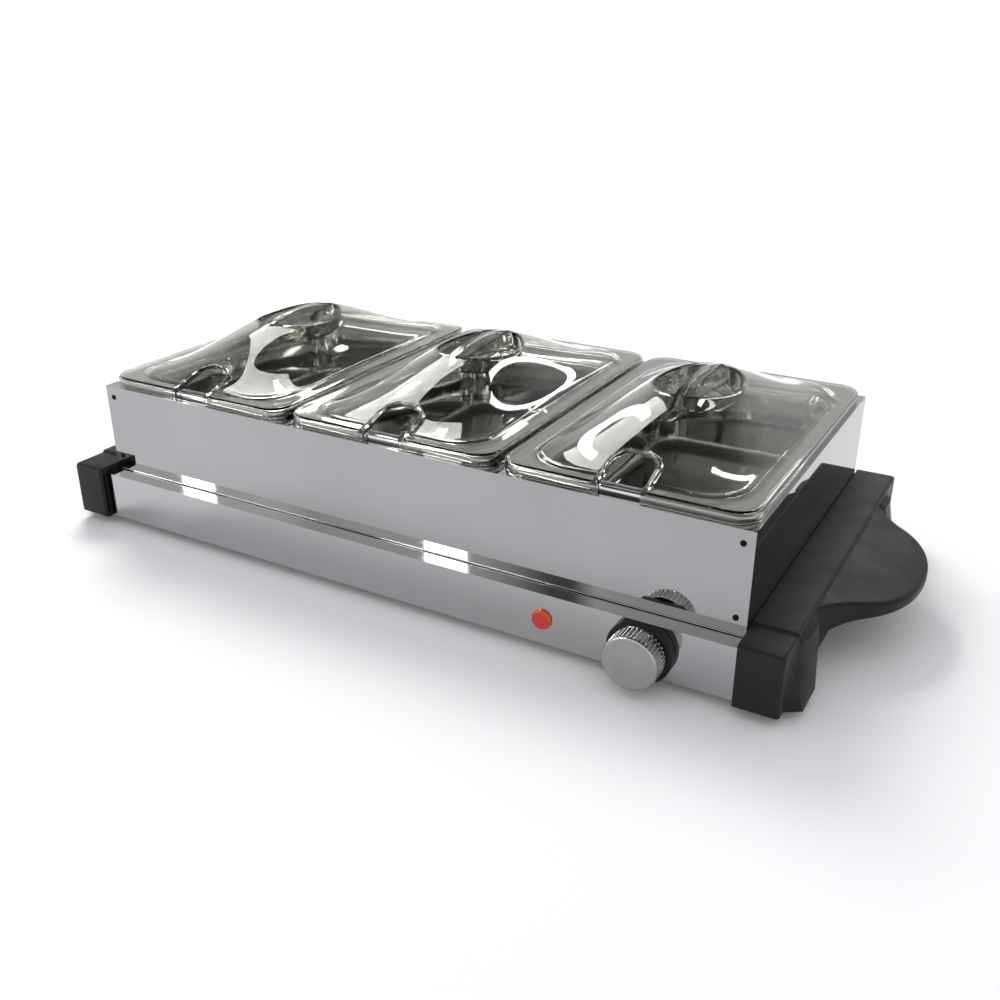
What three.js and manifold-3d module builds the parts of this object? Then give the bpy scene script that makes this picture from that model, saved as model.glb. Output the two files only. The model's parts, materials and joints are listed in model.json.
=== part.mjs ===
// Three-pan electric buffet server: a warming base with two winged end caps, a riveted
// sheet-metal frame that stands on its hot plate, three pans in the frame and a lid on each.
// Millimetres, +Z up, the front panel facing -Y, the origin on the floor below the middle.
import * as THREE from "three";
import { mergeVertices } from "three/addons/utils/BufferGeometryUtils.js";
import Module from "manifold-3d";

const wasm = await Module();
wasm.setup();

// ---- Driving dimensions ----------------------------------------------------------------
const CLEARANCE = 0.3; // between neighbouring pieces
const PAN_COUNT = 3;
const FRAME_LENGTH = 520;
const FRAME_DEPTH = 267;
const FRAME_HEIGHT = 69;
const SHEET = 1; // sheet-metal thickness
const FRONT_LEDGE = 13; // hot plate in front of the frame
const REAR_LEDGE = 5;
const BASE_HEIGHT = 36.3;
const FOOT_HEIGHT = 6; // floor to the lower edge of the end caps
const FOOT_DIAMETER = 22;
const FOOT_INSET = 34; // foot centre to the front and rear of the base shell
const FOOT_INSET_X = 46; // and to its ends

const CAP_GAP = 1; // frame side to the inner edge of an end cap
const CAP_LENGTH = 28;
const CAP_FRONT_LIP = 6; // how far a cap stands proud of the front panel and the rear panel
const CAP_TOP_LIP = 4.7;
const CAP_STEP = 1.7; // the rear part of the cap's top is this much higher
const CAP_STEP_SETBACK = 28; // from the cap's front face to the step
const CAP_WALL = 3;
const CAP_GROUND_GAP = 1; // lower edge of the cap to the lower edge of the panel
const CAP_GRIP = 18.7; // how deep the base shell reaches into a cap
const LEG_FLARE = 10; // outward flare of the cap's legs at the floor
const LEG_LENGTH = 34;
const LEG_SETBACK = 10; // from the cap's end to the flare

const WING_REACH = 49;
const WING_ROOT = 180; // length along the cap
const WING_DROP = 2.2; // wing top below the cap top, at the root
const WING_DROOP = 6.5; // and further down at the tip
const WING_SKIRT = 22.5; // height of the rolled rim at the root
const WING_LIP = 6; // and at the tip
const WING_WALL = 3;

const FLANGE = 12; // inward flange on the frame's front and rear walls
const SIDE_FLANGE = 10;
const CORNER_TAB = 16;
const CROSSBAR_WIDTH = 14;
const CROSSBAR_WEB = 14;
const RIVET_DIAMETER = 3.2;
const RIVET_HEAD = 4.2;
const RIVET_SIDE = 7.2; // rivet to the frame's corner
const RIVET_TOP = 8.6;
const RIVET_BOTTOM = 11.6;

const LID_SPACING = 4.3; // between neighbouring lids
const LID_MARGIN = 2.5; // lid to the front of the frame
const LID_WALL = 2.4;
const LID_SKIRT = 7.5;
const LID_CORNER = 17;
const DOME_RISE = 36.5;
const DOME_INSET_X = 15; // from the lid's side to the foot of the dome
const DOME_INSET_Y = 8.5;
const DOME_SQUARENESS = 5; // superellipse exponent of the dome's outline
const DOME_ROUNDNESS = 2; // exponents of its cross-section: broad crest, hollow foot
const DOME_FOOT = 1.4;
const GRIP_WIDTH = 58; // the oval finger recess at the crest
const GRIP_LENGTH = 76;
const GRIP_DEPTH = 15;
const GRIP_WEB = 6;
const NOTCH_WIDTH = 28; // ladle opening at the front
const NOTCH_LENGTH = 33;
const NOTCH_RIM = 4;
const NOTCH_RIM_RISE = 2.4;
const NOTCH_CORNER = 11;

const PAN_WALL = 0.8;
const PAN_RIM_OVERHANG = 8; // rim beyond the pan's mouth, at the sides
const PAN_RIM_OVERHANG_Y = 9.6;
const PAN_RIM_EDGE = 0.6;
const PAN_DEPTH = 64;
const PAN_FLOAT = 2; // least air between the pan and the hot plate
const PAN_TAPER = 6; // the floor is this much smaller than the mouth, each side
const PAN_CORNER = 26;
const PAN_FLOOR_RADIUS = 9;

const LAMP_X = 132;
const LAMP_DIAMETER = 12.4;
const LAMP_PROUD = 2.6;
const LAMP_BODY_LENGTH = 20;
const KNOB_X = 201;
const KNOB_DIAMETER = 36.8;
const KNOB_LENGTH = 14;
const KNOB_FLUTES = 28;
const KNOB_FLUTE_DEPTH = 0.7;
const KNOB_WALL = 1.5;
const BEZEL_DIAMETER = 43;
const BEZEL_THICKNESS = 6.5;
const SHAFT_DIAMETER = 6;
const BUSHING_DIAMETER = 9;
const NUT_ACROSS_FLATS = 12;
const NUT_THICKNESS = 2.4;

const SPREADER_THICKNESS = 2.4;
const SPREADER_MARGIN = 20; // spreader edge to the ends of the frame
const SPREADER_SETBACK = 21.5; // and to the frame's front and rear
const ELEMENT_DIAMETER = 6.5;
const ELEMENT_PITCH = 48;
const ELEMENT_ROWS = 4;
const ELEMENT_MARGIN = 36; // outermost bend to the spreader's edge
const ELEMENT_END = 15; // terminal end to the spreader's edge
const ELEMENT_PIN = 3.2;
const ELEMENT_PIN_LENGTH = 12;
const BOARD_THICKNESS = 2;
const BOARD_MARGIN = 14;
const BOARD_END_MARGIN = 22; // leaves room for the element's terminals
const BRACKET_WIDTH = 30;
const BRACKET_FOOT = 7;
const BRACKET_MARGIN = 20;
const BRACKET_SPACING = 260;
const THERMOSTAT = { width: 32, depth: 20, height: 22 };
const THERMOSTAT_GAP = 1.6; // housing to the inside of the panel
const SHAFT_SEAT = 9; // how far the shaft reaches into the housing
const CUTOUT = { width: 14, depth: 10, height: 5 };
const CUTOUT_X = 40;
const TERMINALS = { width: 36, depth: 18, height: 12 };
const TERMINALS_SETBACK = 44; // front of the block to the rear panel
const TERMINAL_PITCH = 11;
const TERMINAL_BORE = 4;
const TERMINALS_X = 150;
const GLAND_X = 180;
const GLAND_BORE = 7.5;
const GLAND_NECK = 12;
const GLAND_FLANGE = 17;
const WIRE_DIAMETER = 2.6;
const SCREW_DIAMETER = 3;
const SCREW_HEAD = 7;
const SCREW_LENGTH = 14;
const SCREW_HEAD_HEIGHT = 2;
const BOSS_SIZE = 12;
const BOSS_SPACING = 190;
const STEM_DIAMETER = 6;
const COVER_HEM = 8; // upturned edge of the bottom cover

// ---- Derived places, with y = 0 at the middle of the frame -------------------------------
const frameX = FRAME_LENGTH / 2;
const frameY = FRAME_DEPTH / 2;
const panelFront = -(frameY + FRONT_LEDGE);
const panelRear = frameY + REAR_LEDGE;
const capBottom = FOOT_HEIGHT;
const baseBottom = capBottom + CAP_GROUND_GAP;
const baseTop = baseBottom + BASE_HEIGHT;
const deckUnderside = baseTop - SHEET;
const panelMiddle = (baseBottom + baseTop) / 2;
const capInner = frameX + CAP_GAP;
const capOuter = capInner + CAP_LENGTH;
const shellX = capInner + CAP_GRIP;
const capFront = panelFront - CAP_FRONT_LIP;
const capRear = panelRear + CAP_FRONT_LIP;
const capLowTop = baseTop + CAP_TOP_LIP;
const capTop = capLowTop + CAP_STEP;
const wingTip = capOuter + WING_REACH;

const coverTop = baseBottom + SHEET;
const spreaderTop = deckUnderside - CLEARANCE;
const spreaderBottom = spreaderTop - SPREADER_THICKNESS;
const elementZ = spreaderBottom - CLEARANCE - ELEMENT_DIAMETER / 2;
const boardTop = elementZ - ELEMENT_DIAMETER / 2 - CLEARANCE;
const boardBottom = boardTop - BOARD_THICKNESS;
const stackX = frameX - SPREADER_MARGIN;
const stackY = frameY - SPREADER_SETBACK;
const elementEndX = stackX - ELEMENT_END;
const pinRow = ((ELEMENT_ROWS - 1) / 2) * ELEMENT_PITCH;

const frameBottom = baseTop + CLEARANCE;
const frameTop = frameBottom + FRAME_HEIGHT;
const pitch = FRAME_LENGTH / PAN_COUNT;
const lidX = (pitch - LID_SPACING) / 2;
const lidY = frameY - LID_MARGIN;
const lidBottom = frameTop + CLEARANCE;
const lidFlange = lidBottom + LID_SKIRT;
const lidTop = lidFlange + DOME_RISE;
const rimX = lidX - LID_WALL - CLEARANCE;
const rimY = lidY - LID_WALL - CLEARANCE;
const rimTop = lidFlange - LID_WALL - CLEARANCE;
const mouthX = rimX - PAN_RIM_OVERHANG;
const mouthY = rimY - PAN_RIM_OVERHANG_Y;
const panFloor = Math.max(rimTop - PAN_DEPTH, baseTop + PAN_FLOAT + PAN_WALL);

const bezelFront = panelFront - CLEARANCE - BEZEL_THICKNESS;
const knobRear = bezelFront - CLEARANCE;
const knobFront = knobRear - KNOB_LENGTH;
const thermostatFront = panelFront + SHEET + THERMOSTAT_GAP;

// ---- Geometry helpers --------------------------------------------------------------------
function solidOf(geometry) {
  const bare = geometry.clone();
  bare.deleteAttribute("normal");
  bare.deleteAttribute("uv");
  const merged = mergeVertices(bare, 1e-4);
  return new wasm.Manifold(
    new wasm.Mesh({
      numProp: 3,
      vertProperties: merged.attributes.position.array,
      triVerts: new Uint32Array(merged.index.array),
    }),
  );
}

function geometryOf(solid) {
  const mesh = solid.getMesh();
  const geometry = new THREE.BufferGeometry();
  geometry.setAttribute("position", new THREE.BufferAttribute(mesh.vertProperties, 3));
  geometry.setIndex(new THREE.BufferAttribute(mesh.triVerts, 1));
  geometry.computeVertexNormals();
  return geometry;
}

const join = (...parts) => parts.map(solidOf).reduce((all, next) => all.add(next));

const cut = (body, ...tools) =>
  geometryOf(tools.map(solidOf).reduce((left, tool) => left.subtract(tool), solidOf(body)));

const merge = (...parts) => geometryOf(join(...parts));

const overlap = (a, b) => geometryOf(solidOf(a).intersect(solidOf(b)));

function box(x0, x1, y0, y1, z0, z1) {
  const geometry = new THREE.BoxGeometry(x1 - x0, y1 - y0, z1 - z0);
  return geometry.translate((x0 + x1) / 2, (y0 + y1) / 2, (z0 + z1) / 2);
}

// A solid from an outline [[u, v], ...] swept straight along one axis.
function extruded(outline, depth, curveSegments = 8) {
  const drawn = outline instanceof THREE.Shape;
  const shape = drawn ? outline : new THREE.Shape(outline.map((p) => new THREE.Vector2(...p)));
  return new THREE.ExtrudeGeometry(shape, { depth, bevelEnabled: false, curveSegments });
}

const alongZ = (outline, z0, z1) => extruded(outline, z1 - z0).translate(0, 0, z0);

// The outline is drawn in (y, z).
const alongX = (outline, x0, x1) =>
  extruded(outline, x1 - x0)
    .applyMatrix4(new THREE.Matrix4().set(0, 0, 1, 0, 1, 0, 0, 0, 0, 1, 0, 0, 0, 0, 0, 1))
    .translate(x0, 0, 0);

// The outline is drawn in (x, z).
const alongY = (outline, y0, y1) =>
  extruded(outline, y1 - y0)
    .rotateX(Math.PI / 2)
    .translate(0, y1, 0);

const rodY = (x, z, diameter, y0, y1, sides = 20) =>
  new THREE.CylinderGeometry(diameter / 2, diameter / 2, y1 - y0, sides).translate(x, (y0 + y1) / 2, z);

const rodZ = (x, y, diameter, z0, z1, sides = 16) =>
  new THREE.CylinderGeometry(diameter / 2, diameter / 2, z1 - z0, sides)
    .rotateX(Math.PI / 2)
    .translate(x, y, (z0 + z1) / 2);

const turned = (profile, sides) =>
  new THREE.LatheGeometry(
    profile.map((p) => new THREE.Vector2(...p)),
    sides,
  );

// Points of a rectangle with round corners, counterclockwise, the same number for every size.
function roundedRectangle(halfX, halfY, radius, perCorner) {
  const points = [];
  for (let corner = 0; corner < 4; corner++) {
    const cx = (halfX - radius) * (corner === 0 || corner === 3 ? 1 : -1);
    const cy = (halfY - radius) * (corner < 2 ? 1 : -1);
    for (let i = 0; i < perCorner; i++) {
      const angle = (corner + i / (perCorner - 1)) * (Math.PI / 2);
      points.push([cx + radius * Math.cos(angle), cy + radius * Math.sin(angle)]);
    }
  }
  return points;
}

// A closed body through rings of equal point count, with a cap on the first and last. Each
// ring is a list of [x, y] at the height z, which is a number or a function of x and y.
function loft(rings) {
  const count = rings[0].points.length;
  const heightAt = (z, x, y) => (typeof z === "function" ? z(x, y) : z);
  const positions = rings.flatMap(({ points, z }) => points.flatMap(([x, y]) => [x, y, heightAt(z, x, y)]));
  const index = [];
  for (let ring = 0; ring + 1 < rings.length; ring++) {
    for (let i = 0; i < count; i++) {
      const a = ring * count + i;
      const b = ring * count + ((i + 1) % count);
      index.push(a, b, b + count, a, b + count, a + count);
    }
  }
  const last = (rings.length - 1) * count;
  for (let i = 1; i + 1 < count; i++) {
    index.push(0, i + 1, i);
    index.push(last, last + i, last + i + 1);
  }
  const geometry = new THREE.BufferGeometry();
  geometry.setAttribute("position", new THREE.Float32BufferAttribute(positions, 3));
  geometry.setIndex(index);
  return geometry;
}

// A path through fixed stations, so that long straight runs take one step each.
class StationPath extends THREE.Curve {
  constructor(stations) {
    super();
    this.stations = stations;
  }
  indexAt(u) {
    return Math.round(u * (this.stations.length - 1));
  }
  getPoint(u, target = new THREE.Vector3()) {
    return target.copy(this.stations[this.indexAt(u)]);
  }
  getPointAt(u, target) {
    return this.getPoint(u, target);
  }
  getTangentAt(u, target = new THREE.Vector3()) {
    const i = this.indexAt(u);
    const before = this.stations[Math.max(i - 1, 0)];
    const after = this.stations[Math.min(i + 1, this.stations.length - 1)];
    return target.subVectors(after, before).normalize();
  }
}

function tube(stations, diameter, sides = 8) {
  const section = new THREE.Shape();
  section.absarc(0, 0, diameter / 2, 0, Math.PI * 2);
  return new THREE.ExtrudeGeometry(section, {
    steps: stations.length - 1,
    extrudePath: new StationPath(stations),
    bevelEnabled: false,
    curveSegments: sides / 2,
  });
}

// ---- Finishes ----------------------------------------------------------------------------
const finish = (color, roughness, metalness, extra = {}) =>
  new THREE.MeshStandardMaterial({ color, roughness, metalness, ...extra });

const finishes = {
  polished: finish(0xb9babd, 0.18, 1),
  galvanised: finish(0x9aa0a4, 0.45, 1),
  aluminium: finish(0xc3c6c9, 0.4, 1),
  chrome: finish(0xd4d5d8, 0.2, 1),
  brass: finish(0xb89b55, 0.35, 1),
  cap: finish(0x35373a, 0.5, 0),
  black: finish(0x1c1c1e, 0.55, 0),
  rubber: finish(0x17171a, 0.85, 0),
  smoke: finish(0x55564a, 0.08, 0, { transparent: true, opacity: 0.45 }),
  lamp: finish(0xd8301c, 0.25, 0),
  mica: finish(0xb7ab8c, 0.8, 0),
  ceramic: finish(0xe3dfd4, 0.6, 0),
  wire: finish(0xd9d4c8, 0.7, 0),
};

const server = new THREE.Group();
const assembly = new THREE.Group();
server.add(assembly);

function place(name, geometry, material, x = 0, y = 0, z = 0) {
  const mesh = new THREE.Mesh(geometry, finishes[material]);
  mesh.name = name;
  mesh.position.set(x, y, z);
  assembly.add(mesh);
  return mesh;
}

// ---- Warming base ------------------------------------------------------------------------
const footX = shellX - FOOT_INSET_X;
const footY = [panelFront + FOOT_INSET, panelRear - FOOT_INSET];
const screwX = (capInner + shellX) / 2 + 2;
const capMiddle = (capFront + capRear) / 2;
const screwY = [capMiddle - BOSS_SPACING / 2, capMiddle + BOSS_SPACING / 2];
const sides = [
  ["left", -1],
  ["right", 1],
];
const ends = [
  ["front", 0],
  ["rear", 1],
];

function baseShell() {
  const channel = [
    [panelFront, baseBottom],
    [panelFront + SHEET, baseBottom],
    [panelFront + SHEET, deckUnderside],
    [panelRear - SHEET, deckUnderside],
    [panelRear - SHEET, baseBottom],
    [panelRear, baseBottom],
    [panelRear, baseTop],
    [panelFront, baseTop],
  ];
  return cut(
    alongX(channel, -shellX, shellX),
    rodY(LAMP_X, panelMiddle, LAMP_DIAMETER + 2 * CLEARANCE, panelFront - 1, panelFront + 3),
    rodY(KNOB_X, panelMiddle, BUSHING_DIAMETER + 2 * CLEARANCE, panelFront - 1, panelFront + 3),
    rodY(GLAND_X, panelMiddle, GLAND_NECK + 2 * CLEARANCE, panelRear - 3, panelRear + 1),
  );
}

function bottomCover() {
  const front = panelFront + SHEET + CLEARANCE;
  const rear = panelRear - SHEET - CLEARANCE;
  const underGland = panelMiddle - GLAND_FLANGE / 2 - CLEARANCE;
  const hem = Math.min(coverTop + COVER_HEM, underGland);
  const tray = [
    [front, baseBottom],
    [rear, baseBottom],
    [rear, hem],
    [rear - SHEET, hem],
    [rear - SHEET, coverTop],
    [front + SHEET, coverTop],
    [front + SHEET, hem],
    [front, hem],
  ];
  const holes = [];
  for (const [, side] of sides) {
    for (const [, end] of ends) {
      holes.push(rodZ(side * footX, footY[end], STEM_DIAMETER + 2 * CLEARANCE, 0, coverTop + 1));
      holes.push(rodZ(side * screwX, screwY[end], SCREW_DIAMETER + 4 * CLEARANCE, 0, coverTop + 1));
    }
  }
  return cut(alongX(tray, -shellX, shellX), ...holes);
}

place("base_shell", baseShell(), "polished");
place("bottom_cover", bottomCover(), "galvanised");
place("heat_spreader", box(-stackX, stackX, -stackY, stackY, spreaderBottom, spreaderTop), "aluminium");
place(
  "insulation_board",
  box(
    -stackX + BOARD_MARGIN,
    stackX - BOARD_END_MARGIN,
    -stackY + BOARD_MARGIN,
    stackY - BOARD_MARGIN,
    boardBottom,
    boardTop,
  ),
  "mica",
);

function heatingElement() {
  const stations = [new THREE.Vector3(elementEndX, -pinRow, elementZ)];
  const bends = ELEMENT_ROWS - 1;
  const steps = 8;
  const bendX = stackX - ELEMENT_MARGIN - ELEMENT_PITCH / 2;
  for (let bend = 0; bend < bends; bend++) {
    const side = bend % 2 === 0 ? -1 : 1;
    const centre = (bend - (bends - 1) / 2) * ELEMENT_PITCH;
    for (let i = 0; i <= steps; i++) {
      const angle = (i / steps) * Math.PI;
      stations.push(
        new THREE.Vector3(
          side * (bendX + (ELEMENT_PITCH / 2) * Math.sin(angle)),
          centre - (ELEMENT_PITCH / 2) * Math.cos(angle),
          elementZ,
        ),
      );
    }
  }
  stations.push(new THREE.Vector3(elementEndX, pinRow, elementZ));
  const pins = [-pinRow, pinRow].map((y) =>
    new THREE.CylinderGeometry(ELEMENT_PIN / 2, ELEMENT_PIN / 2, ELEMENT_PIN_LENGTH, 8)
      .rotateZ(Math.PI / 2)
      .translate(elementEndX + ELEMENT_PIN_LENGTH / 2 - 1, y, elementZ),
  );
  return merge(tube(stations, ELEMENT_DIAMETER), ...pins);
}
place("heating_element", heatingElement(), "galvanised");

// A hat section that stands on the bottom cover and presses the heating stack to the hot plate.
function stackBracket(x) {
  const top = boardBottom - CLEARANCE;
  const foot = coverTop + CLEARANCE;
  const outer = BRACKET_WIDTH / 2;
  const crown = outer - BRACKET_FOOT;
  const hat = [
    [-outer, foot],
    [-crown + SHEET, foot],
    [-crown + SHEET, top - SHEET],
    [crown - SHEET, top - SHEET],
    [crown - SHEET, foot],
    [outer, foot],
    [outer, foot + SHEET],
    [crown, foot + SHEET],
    [crown, top],
    [-crown, top],
    [-crown, foot + SHEET],
    [-outer, foot + SHEET],
  ];
  return alongY(hat, -stackY + BRACKET_MARGIN, stackY - BRACKET_MARGIN).translate(x, 0, 0);
}
for (const [name, side] of sides) {
  place(`stack_bracket_${name}`, stackBracket((side * BRACKET_SPACING) / 2), "galvanised");
}

place(
  "thermal_cutout",
  box(
    -CUTOUT.width / 2,
    CUTOUT.width / 2,
    -stackY + 1,
    -stackY + 1 + CUTOUT.depth,
    spreaderBottom - CLEARANCE - CUTOUT.height,
    spreaderBottom - CLEARANCE,
  ),
  "ceramic",
  CUTOUT_X,
);

function thermostatBody() {
  const rear = thermostatFront + THERMOSTAT.depth;
  const half = THERMOSTAT.height / 2;
  const housing = box(
    KNOB_X - THERMOSTAT.width / 2,
    KNOB_X + THERMOSTAT.width / 2,
    thermostatFront,
    rear,
    panelMiddle - half,
    panelMiddle + half,
  );
  const bushing = rodY(
    KNOB_X,
    panelMiddle,
    BUSHING_DIAMETER,
    panelFront - CLEARANCE - NUT_THICKNESS - 1.4,
    thermostatFront + 1,
  );
  const boreEnd = thermostatFront + SHAFT_SEAT + 1;
  const bore = rodY(KNOB_X, panelMiddle, SHAFT_DIAMETER + 2 * CLEARANCE, knobFront, boreEnd, 16);
  return geometryOf(join(housing, bushing).subtract(solidOf(bore)));
}
place("thermostat", thermostatBody(), "ceramic");

function thermostatNut() {
  const nutRear = panelFront - CLEARANCE;
  const hex = new THREE.CylinderGeometry(
    NUT_ACROSS_FLATS / Math.sqrt(3),
    NUT_ACROSS_FLATS / Math.sqrt(3),
    NUT_THICKNESS,
    6,
  ).translate(KNOB_X, nutRear - NUT_THICKNESS / 2, panelMiddle);
  return cut(hex, rodY(KNOB_X, panelMiddle, BUSHING_DIAMETER + 2 * CLEARANCE, nutRear - 9, nutRear + 9));
}
place("thermostat_nut", thermostatNut(), "brass");

// A round escutcheon with flats above and below, so that it stays within the panel's height.
function knobBezel() {
  const flat = BASE_HEIGHT / 2 - 1;
  const rear = panelFront - CLEARANCE;
  const disc = rodY(KNOB_X, panelMiddle, BEZEL_DIAMETER, bezelFront, rear, 40);
  const band = box(
    KNOB_X - BEZEL_DIAMETER,
    KNOB_X + BEZEL_DIAMETER,
    bezelFront - 1,
    rear + 1,
    panelMiddle - flat,
    panelMiddle + flat,
  );
  return cut(
    overlap(disc, band),
    rodY(KNOB_X, panelMiddle, BUSHING_DIAMETER + 4 * CLEARANCE, bezelFront - 1, rear + 1),
    rodY(KNOB_X, panelMiddle, NUT_ACROSS_FLATS + 4, rear - NUT_THICKNESS - 2 * CLEARANCE, rear + 1),
  );
}
place("knob_bezel", knobBezel(), "black");

const lampRadius = LAMP_DIAMETER / 2;
place(
  "indicator_lens",
  turned(
    [
      [0, -SHEET - 1],
      [lampRadius, -SHEET - 1],
      [lampRadius, CLEARANCE],
      [lampRadius + 0.9, CLEARANCE],
      [lampRadius + 0.9, 1.1],
      [lampRadius, LAMP_PROUD - 0.7],
      [lampRadius - 1, LAMP_PROUD],
      [0, LAMP_PROUD],
    ],
    20,
  ).rotateX(Math.PI),
  "lamp",
  LAMP_X,
  panelFront,
  panelMiddle,
);
const lampRear = panelFront + SHEET + 1 + CLEARANCE;
place(
  "indicator_lamp",
  rodY(LAMP_X, panelMiddle, LAMP_DIAMETER + 1.5, lampRear, lampRear + LAMP_BODY_LENGTH, 14),
  "black",
);

function terminalBlock() {
  const front = panelRear - TERMINALS_SETBACK;
  const body = box(
    TERMINALS_X - TERMINALS.width / 2,
    TERMINALS_X + TERMINALS.width / 2,
    front,
    front + TERMINALS.depth,
    coverTop + CLEARANCE,
    coverTop + CLEARANCE + TERMINALS.height,
  );
  const ways = [-1, 0, 1].map((way) => {
    const x = TERMINALS_X + way * TERMINAL_PITCH;
    const z = coverTop + TERMINALS.height / 2;
    return rodY(x, z, TERMINAL_BORE, front - 1, front + TERMINALS.depth + 1, 8);
  });
  return cut(body, ...ways);
}
place("terminal_block", terminalBlock(), "ceramic");

// A grommet gripping the edge of the hole in the rear panel; the supply cord passes through it.
function cordGland() {
  const bore = GLAND_BORE / 2;
  const neck = GLAND_NECK / 2;
  const flange = GLAND_FLANGE / 2;
  const inner = -SHEET - CLEARANCE;
  return turned(
    [
      [bore, inner - 3],
      [flange, inner - 3],
      [flange, inner],
      [neck, inner],
      [neck, CLEARANCE],
      [flange, CLEARANCE],
      [flange - 1, 3.2],
      [bore, 3.2],
      [bore, inner - 3],
    ],
    18,
  );
}
place("cord_gland", cordGland(), "rubber", GLAND_X, panelRear, panelMiddle);

// Internal leads, from terminal to terminal.
function lead(...points) {
  const curve = new THREE.CatmullRomCurve3(points.map((p) => new THREE.Vector3(...p)));
  return tube(curve.getSpacedPoints(16), WIRE_DIAMETER, 6);
}
const thermostatRear = thermostatFront + THERMOSTAT.depth + 3 * CLEARANCE;
const blockFront = panelRear - TERMINALS_SETBACK - 3 * CLEARANCE;
const wireZ = coverTop + 5;
const pinEnd = elementEndX + ELEMENT_PIN_LENGTH - 1 + 5 * CLEARANCE;
place(
  "lead_thermostat_to_element",
  lead(
    [KNOB_X + 9, thermostatRear, panelMiddle],
    [KNOB_X + 16, thermostatRear + 12, wireZ + 8],
    [pinEnd + 12, -pinRow - 12, wireZ + 14],
    [pinEnd + 10, -pinRow, elementZ - 4],
    [pinEnd, -pinRow, elementZ],
  ),
  "wire",
);
place(
  "lead_supply_to_thermostat",
  lead(
    [TERMINALS_X + TERMINAL_PITCH, blockFront, coverTop + TERMINALS.height / 2],
    [TERMINALS_X + 18, blockFront - 30, wireZ],
    [TERMINALS_X + 26, 0, wireZ],
    [TERMINALS_X + 34, thermostatRear + 30, wireZ],
    [KNOB_X - 9, thermostatRear, panelMiddle],
  ),
  "wire",
);
place(
  "lead_supply_to_element",
  lead(
    [TERMINALS_X, blockFront, coverTop + TERMINALS.height / 2],
    [TERMINALS_X + 10, blockFront - 12, wireZ + 6],
    [pinEnd - 20, pinRow + 2, wireZ + 8],
    [pinEnd + 10, pinRow, elementZ - 6],
    [pinEnd, pinRow, elementZ],
  ),
  "wire",
);

function rubberFoot() {
  const radius = FOOT_DIAMETER / 2;
  const top = baseBottom - CLEARANCE;
  const stem = STEM_DIAMETER / 2;
  const barb = coverTop + CLEARANCE;
  return turned(
    [
      [0, 0],
      [radius - 1.2, 0],
      [radius, 1.2],
      [radius - 1.6, top],
      [stem, top],
      [stem, barb],
      [stem + 1.4, barb],
      [stem - 0.8, barb + 3],
      [0, barb + 3],
    ],
    18,
  ).rotateX(Math.PI / 2);
}

function capScrew() {
  const head = baseBottom - CLEARANCE;
  return turned(
    [
      [0, head - SCREW_HEAD_HEIGHT],
      [SCREW_HEAD / 2 - 0.8, head - SCREW_HEAD_HEIGHT],
      [SCREW_HEAD / 2, head - 1],
      [SCREW_HEAD / 2, head],
      [SCREW_DIAMETER / 2, head],
      [SCREW_DIAMETER / 2, head + SCREW_LENGTH - SCREW_HEAD_HEIGHT],
      [0, head + SCREW_LENGTH],
    ],
    10,
  ).rotateX(Math.PI / 2);
}
for (const [side, sign] of sides) {
  for (const [end, row] of ends) {
    place(`foot_${side}_${end}`, rubberFoot(), "rubber", sign * footX, footY[row]);
    place(`cap_screw_${side}_${end}`, capScrew(), "galvanised", sign * screwX, screwY[row]);
  }
}

// ---- End caps with wing handles ----------------------------------------------------------
// Half outline of the wing, from its root on the cap's outer face to its tip.
function wingOutline(inset) {
  const root = WING_ROOT / 2 - inset;
  const reach = WING_REACH - inset;
  const edge = new THREE.CurvePath();
  const p = (x, y) => new THREE.Vector2(x, y);
  const knee = p(0.4 * reach, root - 26);
  edge.add(new THREE.CubicBezierCurve(p(0, root), p(2, root - 8), p(9, root - 17), knee));
  edge.add(new THREE.CubicBezierCurve(knee, p(0.78 * reach, root - 37), p(reach, root * 0.36), p(reach, 0)));
  const half = edge.curves.flatMap((curve, i) => curve.getPoints(7).slice(i));
  const back = half.map(({ x, y }) => [capOuter + x, y]);
  const front = back.slice(0, -1).reverse().map(([x, y]) => [x, -y]);
  const inside = capOuter - WING_WALL / 2;
  return [[inside, root], ...back, ...front, [inside, -root]];
}

function wing() {
  const top = capTop - WING_DROP;
  const lip = top - WING_LIP - WING_DROOP;
  const plate = solidOf(alongZ(wingOutline(0).reverse(), top - WING_SKIRT, top));
  const hollow = alongZ(wingOutline(WING_WALL).reverse(), 0, top - WING_WALL);
  const below = [
    [capOuter - 2, 0],
    [wingTip + 2, 0],
    [wingTip + 2, lip + WING_DROOP],
    [capOuter + 0.6 * WING_REACH, lip + WING_DROOP - 2.5],
    [capOuter + 0.25 * WING_REACH, lip + WING_DROOP - 8],
    [capOuter - 2, top - WING_SKIRT],
  ];
  const flat = geometryOf(
    plate.subtract(solidOf(hollow)).subtract(solidOf(alongY(below, -WING_ROOT, WING_ROOT))),
  );
  const position = flat.attributes.position;
  for (let i = 0; i < position.count; i++) {
    const share = Math.max(0, (position.getX(i) - capOuter) / WING_REACH);
    position.setZ(i, position.getZ(i) - WING_DROOP * share);
  }
  return flat;
}

function capLeg(y0, y1) {
  const flare = [
    [capOuter - CAP_WALL, capBottom],
    [capOuter + LEG_FLARE, capBottom],
    [capOuter + LEG_FLARE * 0.9, capBottom + 10],
    [capOuter + LEG_FLARE * 0.5, capBottom + 24],
    [capOuter - 0.5, capBottom + 35],
    [capOuter - CAP_WALL, capBottom + 35],
  ];
  return alongY(flare, y0, y1);
}

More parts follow.
